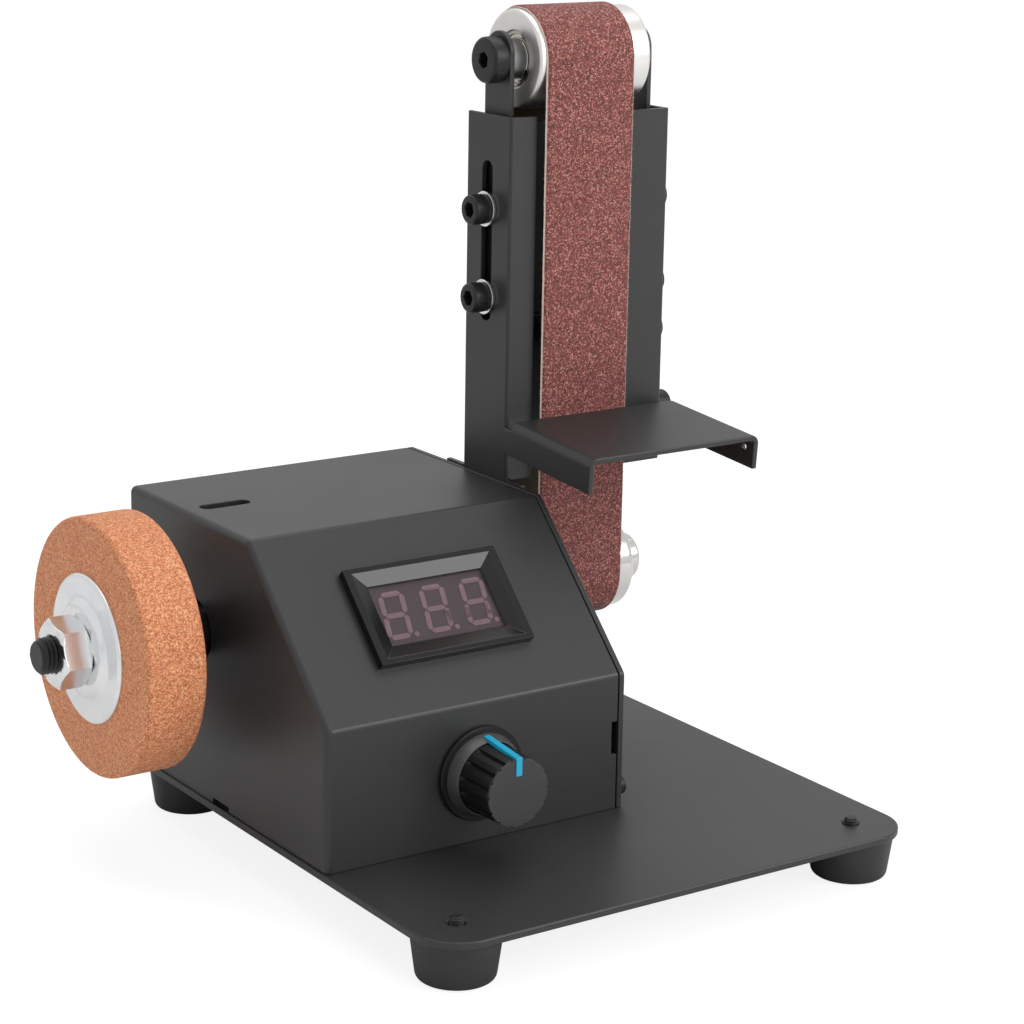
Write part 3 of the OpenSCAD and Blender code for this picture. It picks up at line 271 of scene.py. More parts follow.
def belt_grit():
    """Maroon aluminium oxide: resin with paler and darker grains."""
    grit = Finish("belt_grit", (0.2, 0.06, 0.05))
    grain = grit.node("ShaderNodeSeparateColor", feeds={0: grit.cells(0.34)})
    fine = grit.noise(0.22, 2)
    patch = grit.noise(2.6, 3)
    tone = grit.ramp(
        grain * 0.7 + fine * 0.3,
        (0.14, (0.034, 0.005, 0.004)), (0.42, (0.164, 0.031, 0.025)),
        (0.66, (0.325, 0.082, 0.068)), (0.90, (0.800, 0.400, 0.335)),
    )
    grit.set("Base Color", grit.mixed(patch * 0.25, tone, (0.170, 0.036, 0.030)))
    grit.set("Roughness", grit.spread(grain, 0.45, 0.8))
    grit.set("Normal", grit.bump(grain * 0.6 + fine, 0.16))
    return grit.material


def belt_cloth():
    """The belt's brown cotton backing, darkened as painted shade for its inner face that is seen in
    shadow, and pale where its cut edges fray.
    """
    cloth = Finish("belt_cloth", (0.1, 0.08, 0.05), Roughness=0.85)
    centred = cloth.stretched((1, 1, 1), middle("sanding_belt"))
    across = cloth.node("ShaderNodeSeparateXYZ", feeds={0: centred})
    edge = (sizes("sanding_belt").x / 2 - 0.6) * MM
    frayed = across.math("ABSOLUTE", across) > edge
    yarn = cloth.noise(0.4, 3, cloth.stretched((0.25, 1, 1)))
    # The backing's own brown, made darker as painted shade for the belt's inner run, which lies in
    # shadow.
    back = cloth.mixed(yarn, (0.05, 0.036, 0.022), (0.12, 0.09, 0.055))
    fray = cloth.mixed(yarn, (0.50, 0.34, 0.27), (0.86, 0.76, 0.66))
    cloth.set("Base Color", cloth.mixed(frayed, back, fray))
    cloth.set("Normal", cloth.bump(yarn, 0.1))
    return cloth.material


def wheel_grit():
    """Orange-brown grinding wheel, a close grain of pale and dark grit."""
    grit = Finish("wheel_grit", (0.55, 0.22, 0.1))
    grain = grit.node("ShaderNodeSeparateColor", feeds={0: grit.cells(0.36)})
    fine = grit.noise(0.22, 2)
    patch = grit.noise(9, 3)
    tone = grit.ramp(
        grain * 0.6 + fine * 0.4,
        (0.16, (0.350, 0.095, 0.034)), (0.42, (0.690, 0.230, 0.093)),
        (0.62, (0.870, 0.345, 0.158)), (0.88, (0.990, 0.660, 0.400)),
    )
    grit.set("Base Color", grit.mixed(patch * 0.3, tone, (0.600, 0.200, 0.080)))
    grit.set("Roughness", grit.spread(grain, 0.55, 0.85))
    grit.set("Normal", grit.bump(grain * 0.5 + fine, 0.14))
    return grit.material


def plastic(name, dark, light, low_rough, high_rough, relief=0.01, **constants):
    """Moulded plastic with a faint sparked texture."""
    stuff = Finish(name, light, **constants)
    spark = stuff.noise(0.3, 3)
    cloud = stuff.noise(8, 3)
    stuff.set("Base Color", stuff.mixed(cloud, dark, light))
    stuff.set("Roughness", stuff.spread(spark, low_rough, high_rough))
    stuff.set("Normal", stuff.bump(spark, relief))
    return stuff.material


def copper():
    metal = Finish("copper", (0.8, 0.4, 0.22), Metallic=1.0)
    strand = metal.noise(0.5, 3, metal.stretched((0.3, 1, 1)))
    metal.set("Base Color", metal.mixed(strand, (0.55, 0.22, 0.10), (0.90, 0.48, 0.28)))
    metal.set("Roughness", metal.spread(strand, 0.22, 0.42))
    metal.set("Normal", metal.bump(strand, 0.05))
    return metal.material


def circuit_board():
    board = Finish("circuit_board", (0.01, 0.1, 0.04))
    track = board.cells(2.5, "Distance", "DISTANCE_TO_EDGE") < 0.1
    board.set("Base Color", board.mixed(track, (0.006, 0.06, 0.025), (0.02, 0.16, 0.06)))
    board.set("Roughness", board.spread(board.noise(1, 2), 0.3, 0.5))
    board.set("Normal", board.bump(track, 0.03))
    return board.material


FINISH = {
    "grey_paint": powder_coat(),
    "foot_rubber": rubber(),
    "black_steel": black_oxide(),
    "zinc_steel": bright_metal(
        "zinc", (0.74, 0.75, 0.76), (0.88, 0.89, 0.90), 0.21, SPINDLE, relief=0.003),
    "dull_zinc": bright_metal("dull_zinc", (0.34, 0.34, 0.35), (0.50, 0.50, 0.51), 0.38),
    "motor_steel": bright_metal("motor_steel", (0.30, 0.31, 0.32), (0.42, 0.43, 0.44), 0.36),
    "magnet": plastic("magnet", (0.03, 0.03, 0.032), (0.05, 0.05, 0.052), 0.5, 0.7, 0.03),
    "copper": copper(),
    "polished_aluminium": bright_metal(
        "polished_aluminium", (0.58, 0.57, 0.55), (0.70, 0.69, 0.67), 0.17, SPINDLE, 0.2, 0.003),
    "idler_aluminium": bright_metal(
        "idler_aluminium", (0.72, 0.70, 0.68), (0.82, 0.80, 0.78), 0.34, IDLER, 0.2),
    "bearing_steel": bright_metal(
        "bearing_steel", (0.42, 0.40, 0.36), (0.62, 0.60, 0.55), 0.14, IDLER, 0.3),
    "abrasive": belt_grit(),
    "belt_cloth": belt_cloth(),
    "wheel_grit": wheel_grit(),
    "black_plastic": plastic(
        "black_plastic", (0.010, 0.011, 0.011), (0.017, 0.018, 0.018), 0.34, 0.48),
    "bezel_black": plastic(
        "bezel_black", (0.004, 0.004, 0.004), (0.008, 0.008, 0.009), 0.13, 0.22, 0.003, IOR=1.42),
    "knob_black": plastic(
        "knob_black", (0.003, 0.003, 0.003), (0.006, 0.006, 0.006), 0.42, 0.55, IOR=1.4),
    "grey_plastic": plastic(
        "grey_plastic", (0.030, 0.031, 0.031), (0.044, 0.045, 0.045), 0.42, 0.55, 0.014),
    "skirt_grey": plastic("skirt_grey", (0.05, 0.05, 0.05), (0.07, 0.07, 0.07), 0.26, 0.36, 0.008),
    "blue_plastic": plastic(
        "blue_plastic", (0.008, 0.36, 0.58), (0.015, 0.46, 0.72), 0.35, 0.45, 0.008),
    "smoked_window": plastic(
        "smoked_window", (0.030, 0.022, 0.026), (0.036, 0.027, 0.031), 0.2, 0.3, 0.002, Alpha=0.3),
    "display_face": plastic(
        "display_face", (0.190, 0.135, 0.152), (0.215, 0.155, 0.172), 0.5, 0.65),
    "digit_pink": plastic("digit_pink", (0.42, 0.26, 0.30), (0.50, 0.32, 0.37), 0.5, 0.6),
    "board_green": circuit_board(),
    "red_lead": plastic("red_lead", (0.25, 0.01, 0.01), (0.35, 0.02, 0.02), 0.35, 0.5),
    "yellow_lead": plastic("yellow_lead", (0.45, 0.30, 0.02), (0.60, 0.42, 0.03), 0.35, 0.5),
}
OWN_FINISH = {"axle_spacers": "dull_zinc"}  # nodes that differ from their slot
for node, shown in NODES.items():
    for slot in shown.material_slots:
        slot.material = FINISH[OWN_FINISH.get(node, SLOT[node])]


# Making and placing pieces


def keep(name, shape, finish=None, angle=CREASE):
    """Turns a bmesh into a shaded object."""
    mesh = bpy.data.meshes.new(name)
    shape.to_mesh(mesh)
    shape.free()
    piece = bpy.data.objects.new(name, mesh)
    bpy.context.scene.collection.objects.link(piece)
    if finish:
        mesh.materials.append(FINISH[finish])
    mesh.polygons.foreach_set("use_smooth", [True] * len(mesh.polygons))
    mesh.set_sharp_from_angle(angle=math.radians(angle))
    return piece


def settled(piece):
    """Works a piece's modifiers into its mesh."""
    shape = bpy.data.meshes.new_from_object(
        piece.evaluated_get(bpy.context.evaluated_depsgraph_get()),
        preserve_all_data_layers=True, depsgraph=bpy.context.evaluated_depsgraph_get())
    piece.modifiers.clear()
    old, piece.data = piece.data, shape
    bpy.data.meshes.remove(old)
    return piece


def takes_over(piece, *nodes):
    """The piece rides on the nodes' body and is shown in their place."""
    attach(piece, BODY[nodes[0]])
    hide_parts(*nodes)
    return piece


def softened(node, width, finish=None, angle=30):
    """A copy of a CAD node with its sharp edges rounded off."""
    shape = bmesh.new()
    shape.from_mesh(NODES[node].data)
    bmesh.ops.remove_doubles(shape, verts=shape.verts, dist=WELD)
    bmesh.ops.dissolve_limit(
        shape, angle_limit=math.radians(0.4), verts=shape.verts, edges=shape.edges)
    piece = keep(f"{node}_shape", shape, finish or SLOT[node], angle)
    bevel = piece.modifiers.new("edges", "BEVEL")
    bevel.width = width * MM
    bevel.segments = 2
    bevel.limit_method = "ANGLE"
    bevel.angle_limit = math.radians(angle)
    bevel.use_clamp_overlap = False
    even = piece.modifiers.new("normals", "WEIGHTED_NORMAL")
    even.keep_sharp = True
    even.weight = 80
    return takes_over(settled(piece), node)


def skin(loops, wrap=False):
    """Skins rings of points one after the other. The ends are capped unless it wraps."""
    shape = bmesh.new()
    rings = [[shape.verts.new(point) for point in loop] for loop in loops]
    pairs = list(zip(rings, rings[1:])) + ([(rings[-1], rings[0])] if wrap else [])
    for a, b in pairs:
        for i, corner in enumerate(a):
            j = (i + 1) % len(a)
            shape.faces.new((corner, a[j], b[j], b[i]))
    if not wrap:
        shape.faces.new(list(reversed(rings[0])))
        shape.faces.new(rings[-1])
    return shape


def facing_out(shape):
    bmesh.ops.recalc_face_normals(shape, faces=shape.faces)
    return shape


def circle(r, z, n=SIDES):
    return [Vector((r * math.cos(math.tau * i / n), r * math.sin(math.tau * i / n), z)) * MM
            for i in range(n)]


def hexagon(across, z, turn=0.0, reach=math.inf):
    """Points evenly spread round a hexagon of that width across its flats, none past a reach."""
    points = []
    for i in range(SIDES):
        angle = math.tau * i / SIDES
        off = (angle % (math.tau / 6)) - math.tau / 12
        r = min(across / 2 / math.cos(off), reach)
        points.append(Vector((r * math.cos(angle + turn), r * math.sin(angle + turn), z)) * MM)
    return points


def rounded(corners, radius, steps, closed=False):
    """A flat outline of (radius, height) corners with each corner eased."""
    out = []
    count = len(corners)
    for i, corner in enumerate(corners):
        here = Vector(corner)
        if not closed and i in (0, count - 1):
            out.append(here)
            continue
        before, after = Vector(corners[i - 1]) - here, Vector(corners[(i + 1) % count]) - here
        reach = min(radius, before.length * 0.49, after.length * 0.49)
        start, end = here + before.normalized() * reach, here + after.normalized() * reach
        for k in range(steps + 1):
            t = k / steps
            out.append(start * (1 - t) ** 2 + here * 2 * t * (1 - t) + end * t * t)
    return out


def turned(outline, n):
    """A shape turned on a lathe about Z, from an outline of (radius, height) points."""
    return facing_out(skin([circle(r, z, n) for r, z in outline], wrap=True))


def aim(spot, along, spin=0.0):
    """Takes a shape drawn along Z to a spot, pointing along a direction."""
    turn = along.to_track_quat("Z", "Y").to_matrix().to_4x4()
    return Matrix.Translation(spot) @ turn @ Matrix.Rotation(spin, 4, "Z")


def lay(shape, spot, along):
    bmesh.ops.transform(shape, matrix=aim(spot, along), verts=shape.verts)
    return shape


def raised(piece, height):
    piece.data.transform(Matrix.Translation((0, 0, height * MM)))
    return piece


def joined(*shapes):
    """One bmesh of several, each given as a bmesh or as a piece, which is used up."""
    whole = bmesh.new()
    for shape in shapes:
        if isinstance(shape, bpy.types.Object):
            mesh = shape.data
            bpy.data.objects.remove(shape)
        else:
            mesh = bpy.data.meshes.new("part")
            shape.to_mesh(mesh)
            shape.free()
        whole.from_mesh(mesh)
        bpy.data.meshes.remove(mesh)
    return whole


# Shapes that repeat or follow a path


def shape_tree(name, inputs):
    """A Geometry Nodes tree with its named inputs."""
    tree = bpy.data.node_groups.new(name, "GeometryNodeTree")
    tree.interface.new_socket("Geometry", in_out="INPUT", socket_type="NodeSocketGeometry")
    tree.interface.new_socket("Geometry", in_out="OUTPUT", socket_type="NodeSocketGeometry")
    for label, kind in inputs.items():
        tree.interface.new_socket(label, in_out="INPUT", socket_type="NodeSocket" + kind)
    recipe = Recipe(tree)
    entry = tree.nodes.new("NodeGroupInput")
    return recipe, {label: Wire(recipe, entry.outputs[label]) for label in ("Geometry", *inputs)}


def deliver(recipe, geometry, finish):
    """Ends a shape's tree with real geometry in its finish."""
    real = recipe.node("GeometryNodeRealizeInstances", feeds={"Geometry": geometry})
    painted = recipe.node("GeometryNodeSetMaterial", feeds={"Geometry": real, "Material": finish})
    end = recipe.tree.nodes.new("NodeGroupOutput")
    recipe.tree.links.new(painted.socket, end.inputs[0])
    return recipe.tree


def setting_out():
    """Sets a pattern on every point, turned as the point's attribute says."""
    recipe, given = shape_tree("setting_out", {"Pattern": "Object", "Finish": "Material"})
    pattern = recipe.node("GeometryNodeObjectInfo", {"transform_space": "ORIGINAL"},
                          {"Object": given["Pattern"]}, "Geometry")
    turn = recipe.node("GeometryNodeInputNamedAttribute", {"data_type": "FLOAT_VECTOR"},
                       {"Name": "turn"})
    rotation = recipe.node("FunctionNodeEulerToRotation", feeds={0: turn})
    placed = recipe.node("GeometryNodeInstanceOnPoints", feeds={
        "Points": given["Geometry"], "Instance": pattern, "Rotation": rotation})
    return deliver(recipe, placed, given["Finish"])


def knurling():
    """Small square ridges round a head, which stand on z = 0."""
    recipe, given = shape_tree("knurling", {
        "Radius": "Float", "Height": "Float", "Ridge": "Float", "Ridges": "Int",
        "Finish": "Material"})
    ring = recipe.node("GeometryNodeMeshCircle",
                       feeds={"Vertices": given["Ridges"], "Radius": given["Radius"]})
    ridge = recipe.node("GeometryNodeMeshCone", feeds={
        "Vertices": 4, "Radius Top": given["Ridge"], "Radius Bottom": given["Ridge"],
        "Depth": given["Height"]})
    place = recipe.node("GeometryNodeInputPosition")
    outward = recipe.node("FunctionNodeAlignRotationToVector", {"axis": "X"}, {"Vector": place})
    placed = recipe.node("GeometryNodeInstanceOnPoints", feeds={
        "Points": ring, "Instance": ridge, "Rotation": outward})
    return deliver(recipe, placed, given["Finish"])


def threading():
    """A ridge that winds up a screw."""
    recipe, given = shape_tree("threading", {
        "Radius": "Float", "Pitch": "Float", "Length": "Float", "Finish": "Material"})
    depth = given["Pitch"] * 0.5
    coil = recipe.node("GeometryNodeCurveSpiral", feeds={
        "Resolution": 32, "Rotations": given["Length"] / given["Pitch"],
        "Start Radius": given["Radius"] - depth, "End Radius": given["Radius"] - depth,
        "Height": given["Length"]})
    upright = recipe.node("GeometryNodeSetCurveNormal", {"mode": "Z_UP"}, {"Curve": coil})
    edge = recipe.node("GeometryNodeCurvePrimitiveCircle", feeds={"Resolution": 4, "Radius": depth})
    ridge = recipe.node("GeometryNodeCurveToMesh", feeds={
        "Curve": upright, "Profile Curve": edge, "Fill Caps": True})
    return deliver(recipe, ridge, given["Finish"])


def belt_making():
    """A band swept round a loop, with edges that wander a little."""
    recipe, given = shape_tree("belt_making", {
        "Width": "Float", "Thickness": "Float", "Wander": "Float", "Finish": "Material"})
    loop = recipe.node("GeometryNodeMeshToCurve", feeds={0: given["Geometry"]})
    flat = recipe.node("GeometryNodeSetCurveNormal", {"mode": "FREE"},
                       {"Curve": loop, "Normal": (1, 0, 0)})
    section = recipe.node("GeometryNodeCurvePrimitiveQuadrilateral",
                          feeds={"Width": given["Width"], "Height": given["Thickness"]})
    fine = recipe.node("GeometryNodeResampleCurve", feeds={"Curve": section, "Count": 64})
    band = recipe.node("GeometryNodeCurveToMesh", feeds={"Curve": flat, "Profile Curve": fine})
    place = recipe.node("GeometryNodeInputPosition")
    wave = recipe.node("ShaderNodeTexNoise", feeds={"Vector": place, "Scale": 160.0, "Detail": 3.0})
    push = recipe.node("ShaderNodeCombineXYZ", feeds={0: (wave - 0.5) * given["Wander"]})
    shaken = recipe.node("GeometryNodeSetPosition", feeds={"Geometry": band, "Offset": push})
    return deliver(recipe, shaken, given["Finish"])


def fraying():
    """Short loose fibres along both edges of a belt."""
    recipe, given = shape_tree("fraying", {
        "Half Width": "Float", "Fibres": "Int", "Fibre": "Float", "Seed": "Int",
        "Finish": "Material"})
    loop = recipe.node("GeometryNodeMeshToCurve", feeds={0: given["Geometry"]})
    root, tip = given["Fibre"] * 0.09, given["Fibre"] * 0.04
    sideways, lean, twist = 1.57, 0.7, 1.1  # radians
    edges = []
    for side, seed in ((1, 0), (-1, 100)):
        points = recipe.node("GeometryNodeCurveToPoints", {"mode": "COUNT"},
                             {"Curve": loop, "Count": given["Fibres"]})
        shift = recipe.node("ShaderNodeCombineXYZ", feeds={0: given["Half Width"] * side})
        shifted = recipe.node("GeometryNodeSetPosition",
                              feeds={"Geometry": points, "Offset": shift})
        fibre = recipe.node("GeometryNodeMeshCone", feeds={
            "Vertices": 3, "Radius Top": tip, "Radius Bottom": root, "Depth": given["Fibre"]})
        tilt = recipe.node("FunctionNodeRandomValue", {"data_type": "FLOAT_VECTOR"}, {
            0: (-twist, side * sideways - lean, -twist), 1: (twist, side * sideways + lean, twist),
            "Seed": given["Seed"] + seed})
        size = recipe.node("FunctionNodeRandomValue", {"data_type": "FLOAT"}, {
            2: 0.25, 3: 1.0, "Seed": given["Seed"] + seed + 7}, 1)
        edges.append(recipe.node("GeometryNodeInstanceOnPoints", feeds={
            "Points": shifted, "Instance": fibre, "Rotation": tilt, "Scale": size}))
    both = recipe.tree.nodes.new("GeometryNodeJoinGeometry")
    for edge in edges:
        recipe.tree.links.new(edge.socket, both.inputs[0])
    return deliver(recipe, Wire(recipe, both.outputs[0]), given["Finish"])


SETTING_OUT, KNURLING, THREADING = setting_out(), knurling(), threading()
BELT_MAKING, FRAYING = belt_making(), fraying()


def worked(piece, tree, values):
    """Runs a tree on a piece and keeps the plain mesh."""
    step = piece.modifiers.new(tree.name, "NODES")
    step.node_group = tree
    sockets = {item.name: item.identifier for item in tree.interface.items_tree
               if item.item_type == "SOCKET" and item.in_out == "INPUT"}
    for label, value in values.items():
        step[sockets[label]] = value
    return settled(piece)


def knurled(radius, height, ridges, finish):
    """Ridges that reach out to a radius."""
    ridge = 0.15
    return worked(keep("knurl", bmesh.new()), KNURLING, {
        "Radius": (radius - ridge) * MM, "Height": height * MM, "Ridge": ridge * MM,
        "Ridges": ridges, "Finish": FINISH[finish]})


def thread(radius, pitch, length, finish="black_steel"):
    return worked(keep("thread", bmesh.new()), THREADING, {
        "Radius": radius * MM, "Pitch": pitch * MM, "Length": length * MM,
        "Finish": FINISH[finish]})


def set_out(name, pattern, places, finish):
    """Copies of a pattern at (spot, direction, spin) places, as one piece."""
    points = bmesh.new()
    turn = points.verts.layers.float_vector.new("turn")
    for spot, along, spin in places:
        point = points.verts.new(spot)
        point[turn] = Vector(aim(Vector(), along, spin).to_euler())
    piece = worked(keep(name, points), SETTING_OUT, {"Pattern": pattern, "Finish": FINISH[finish]})
    bpy.data.objects.remove(pattern)
    piece.data.set_sharp_from_angle(angle=math.radians(CREASE))
    return piece


def solids(node):
    """The boxes of a CAD node's separate solids, as (low, high) corners."""
    shape = bmesh.new()
    shape.from_mesh(NODES[node].data)
    bmesh.ops.remove_doubles(shape, verts=shape.verts, dist=WELD)
    left = set(shape.verts)
    boxes = []
    while left:
        island, edge = set(), [left.pop()]
        while edge:
            vert = edge.pop()
            island.add(vert)
            for link in vert.link_edges:
                other = link.other_vert(vert)
                if other in left:
                    left.discard(other)
                    edge.append(other)
        spots = [v.co for v in island]
        boxes.append((Vector(map(min, zip(*spots))), Vector(map(max, zip(*spots)))))
    shape.free()
    return sorted(boxes, key=lambda box: tuple(round(c, 5) for c in box[0]))


# Screws, nuts and washers

PITCH = {3: 0.5, 4: 0.7, 5: 0.8, 8: 1.25, 10: 1.25}  # of a thread by its diameter
# A screw's thread diameter, head diameter, head height and key
M3, M4, M5, M8 = (3, 5.5, 3, 2.5), (4, 7, 3, 3), (5, 8.5, 5, 4), (8, 13, 5, 4.2)
M4_LOW = (4, 7, 2.6, 3)
# A nut's width across flats, height and bore
NUT_M3, NUT_M5, NUT_M8, NUT_M10 = (5.5, 2.4, 3.1), (8, 4, 5.1), (13, 5, 8.1), (17, 8, 10.1)
# A washer's outer and inner diameters and height
WASHER_M5 = (10, 5.1, 1)


def cap_screw(size, length, finish):
    """A socket head screw along Z, its head standing on z = 0."""
    thread_d, head_d, head_h, key = size
    pitch = PITCH[thread_d]
    thread_r, head_r, bevel = thread_d / 2, head_d / 2, head_d * 0.05
    core, side, point = thread_r - pitch * 0.5, head_r - 0.05, 0.3
    shank = [circle(core * 0.8, -length), circle(core, point - length), circle(core, -0.5),
             circle(thread_r, -0.3), circle(thread_r, 0)]
    head = rounded([(thread_r, 0), (side, 0), (side, head_h - bevel), (head_r - bevel, head_h),
                    (key * 0.62, head_h)], bevel * 0.7, 3)
    socket = [hexagon(key + 0.3, head_h), hexagon(key, head_h - 0.2), hexagon(key, head_h * 0.45),
              circle(key * 0.1, head_h * 0.36)]
    body = skin(shank + [circle(r, z) for r, z in head[1:]] + socket)
    ridges = raised(knurled(head_r, head_h * 0.62, max(24, round(head_d * 5.2)), finish),
                    head_h * 0.12)
    winding = raised(thread(thread_r, pitch, length - 0.8 - pitch * 0.5, finish),
                     point + pitch * 0.5 - length)
    return keep("screw", joined(body, ridges, winding), finish)


def grub_screw(thread_d, length):
    """A screw without a head, its socket at the top, z = length."""
    pitch, key, depth = PITCH[thread_d], 2, 1.8
    core = thread_d / 2 - pitch * 0.5
    body = skin([circle(core * 0.7, 0), circle(core, 0.4), circle(core, length - 0.3),
                 circle(core - 0.3, length), hexagon(key, length), hexagon(key, length - depth)])
    winding = raised(thread(thread_d / 2, pitch, length - 1.0), 0.5)
    return keep("screw", joined(body, winding), "black_steel")


def hex_nut(size, turn=0.0):
    """A zinc nut on z = 0, its corners turned down at both ends."""
    across, height, bore = size
    flat_r, bore_r, eased, steps = across / 2, bore / 2, 0.5, 5
    corner = flat_r / math.cos(math.pi / 6) - flat_r
    turning = [(corner * 0.6 * k / steps, flat_r + corner * k / steps) for k in range(steps + 1)]
    loops = [circle(bore_r + eased, 0)]
    loops += [hexagon(across, z, turn, reach) for z, reach in turning]
    loops += [hexagon(across, height - z, turn, reach) for z, reach in reversed(turning)]
    loops += [circle(bore_r + eased, height), circle(bore_r, height - eased),
              circle(bore_r, eased)]
    return keep("nut", facing_out(skin(loops, wrap=True)), "zinc_steel")


def washer(size, finish="zinc_steel"):
    outer_r, inner_r, height = size[0] / 2, size[1] / 2, size[2]
    outline = rounded([(inner_r, 0), (outer_r, 0), (outer_r, height), (inner_r, height)],
                      0.18, 3, closed=True)
    return keep("washer", turned(outline, SIDES), finish)


def outward(centre):
    """Away from the column's middle plane, along X."""
    return RIGHT if centre.x > middle("column").x else LEFT


def axis_of(along):
    """The number of the axis that a direction lies along."""
    return max(range(3), key=lambda i: abs(along[i]))


def screws(node, size, along=None, finish="black_steel"):
    """Screws in place of a node's solids, their heads along a direction or else outward."""
    head_h = size[2]
    random.seed(node)
    by_length = {}
    for low, high in solids(node):
        centre = (low + high) / 2
        way = outward(centre) if along is None else along
        axis = axis_of(way)
        whole = (high - low)[axis] / MM
        seat = Vector(centre)
        seat[axis] = (high if way[axis] > 0 else low)[axis] - way[axis] * head_h * MM
        by_length.setdefault(round(whole - head_h, 2), []).append(
            (seat, way, random.uniform(0, 1)))
    pieces = [set_out(node, cap_screw(size, length, finish), places, finish)
              for length, places in by_length.items()]
    takes_over(pieces[0] if len(pieces) == 1 else keep(node, joined(*pieces), finish), node)


def rings(node, pattern, along=None):
    """Zinc nuts or washers in place of a node's solids, standing on their inner ends."""
    random.seed(node)
    places = []
    for low, high in solids(node):
        centre = (low + high) / 2
        way = outward(centre) if along is None else along
        axis = axis_of(way)
        seat = Vector(centre)
        seat[axis] = (low if way[axis] > 0 else high)[axis]
        places.append((seat, way, random.uniform(0, 0.1)))
    takes_over(set_out(node, pattern, places, "zinc_steel"), node)


screws("foot_screws", M4, DOWN)
screws("panel_screws", M3, RIGHT)
screws("base_screws", M3, DOWN, "zinc_steel")
screws("motor_screws", M4_LOW, RIGHT, "zinc_steel")
screws("fork_screws", M5)
screws("table_screw", M5)
rings("base_nuts", hex_nut(NUT_M3), UP)
rings("fork_washers", washer(WASHER_M5))
rings("fork_nuts", hex_nut(NUT_M5, math.pi / 6))
rings("table_nut", hex_nut(NUT_M5))
rings("axle_nut", hex_nut(NUT_M8))
screws("idler_axle", M8, LEFT)


def platen_fixing():
    """The platen's screw and its washer, which are one node."""
    head_h, washer_h = M5[2], WASHER_M5[2]
    low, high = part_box("platen_screw")
    centre = (low + high) / 2
    seat, base = (Vector((high.x - depth * MM, centre.y, centre.z))
                  for depth in (head_h, head_h + washer_h))
    length = (high.x - low.x) / MM - head_h
    screw = set_out("screw", cap_screw(M5, length, "black_steel"), [(seat, RIGHT, 0.4)],
                    "black_steel")
    under = set_out("washer", washer(WASHER_M5, "black_steel"), [(base, RIGHT, 0)], "black_steel")
    return keep("platen_fixing", joined(screw, under), "black_steel")


def grub_screws():
    places = [(Vector(((low.x + high.x) / 2, SPINDLE.y, low.z)), UP, 0.3)
              for low, high in solids("grub_screws")]
    return set_out("grub_screw_pair", grub_screw(4, sizes("grub_screws").z), places, "black_steel")


takes_over(platen_fixing(), "platen_screw")
takes_over(grub_screws(), "grub_screws")


# Sheet metal and other pieces that keep the CAD's shape

# The cover, the panel and the column have bends of 0.2, which a wider edge would tear.
softened("base_plate", 0.35)
softened("housing_cover", 0.18)
softened("right_panel", 0.18)
softened("column", 0.18)
softened("platen", 0.3)
softened("tension_fork", 0.3)
softened("work_table", 0.3)
softened("meter_bezel", 0.14, finish="bezel_black", angle=12)
softened("power_jack", 0.25)
softened("knob_cap", 0.14, finish="grey_plastic")
softened("knob_pointer", 0.16)


# Turned pieces. Their outlines are (radius, height) points.


def rubber_feet():
    """Tapered feet with a soft bottom edge, bored for the screws and their heads."""
    height, floor_r, top_r = 12.2, 10.15, 11.7
    bore_r, head_r, head_room = 2.05, 4.3, 5
    cone = rounded([(head_r, 0), (floor_r, 0), (11.62, 11.2)], 1.7, 8)
    top = rounded([(11.62, 11.0), (top_r, 11.6), (top_r, height), (bore_r, height),
                   (bore_r, head_room), (head_r, head_room)], 0.25, 3)
    pattern = keep("foot", turned(cone[:-1] + top, 96), "foot_rubber")
    places = [(Vector(((low.x + high.x) / 2, (low.y + high.y) / 2, low.z)), UP, 0)
              for low, high in solids("rubber_feet")]
    return set_out("feet", pattern, places, "foot_rubber")


def on_spindle(x):
    return Vector((x, SPINDLE.y, SPINDLE.z))


def lathe_piece(node, outline, finish, n=160):
    """A piece turned about X, whose outline starts at the low end of its node."""
    low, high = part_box(node)
    centre = (low + high) / 2
    shape = lay(turned(outline, n), Vector((low.x, centre.y, centre.z)), RIGHT)
    return keep(f"{node}_shape", shape, finish)


def grinding_wheel():
    r, w, bore = 35.4, 17.2, 5.05
    rim = rounded([(bore, 0), (r, 0), (r, w), (bore, w)], 1.6, 6, closed=True)
    outline = [(bore, 0)] + [point for point in rim if point.x > r / 2] + [(bore, w)]
    return lathe_piece("grinding_wheel", outline, "wheel_grit")


def outer_flange():
    """Pressed zinc washer with a raised middle."""
    bore, rim_r = 5.05, 20.5
    top = rounded([(bore, 2.8), (12.0, 2.8), (14.0, 1.3), (19.6, 1.1), (20.45, 0.75), (rim_r, 0)],
                  1.4, 6)
    under = rounded([(rim_r, 0), (17.0, 0.02), (14.4, 0.3), (10.8, 1.7), (bore, 1.7)], 1.5, 6)
    seat = on_spindle(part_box("outer_flange")[1].x)
    return keep("outer_flange_shape", lay(turned(top + under, 160), seat, LEFT), "zinc_steel")


def inner_flange():
    bore, rim_r, t = 5.05, 20.5, 2.5
    outline = rounded([(bore, 0), (rim_r, 0), (rim_r, t), (bore, t)], 0.4, 3, closed=True)
    return lathe_piece("inner_flange", outline, "zinc_steel", 128)


def arbor_nut():
    seat = on_spindle(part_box("arbor_nut")[0].x)
    return set_out("arbor_nut_shape", hex_nut(NUT_M10, math.radians(12)), [(seat, RIGHT, 0)],
                   "zinc_steel")


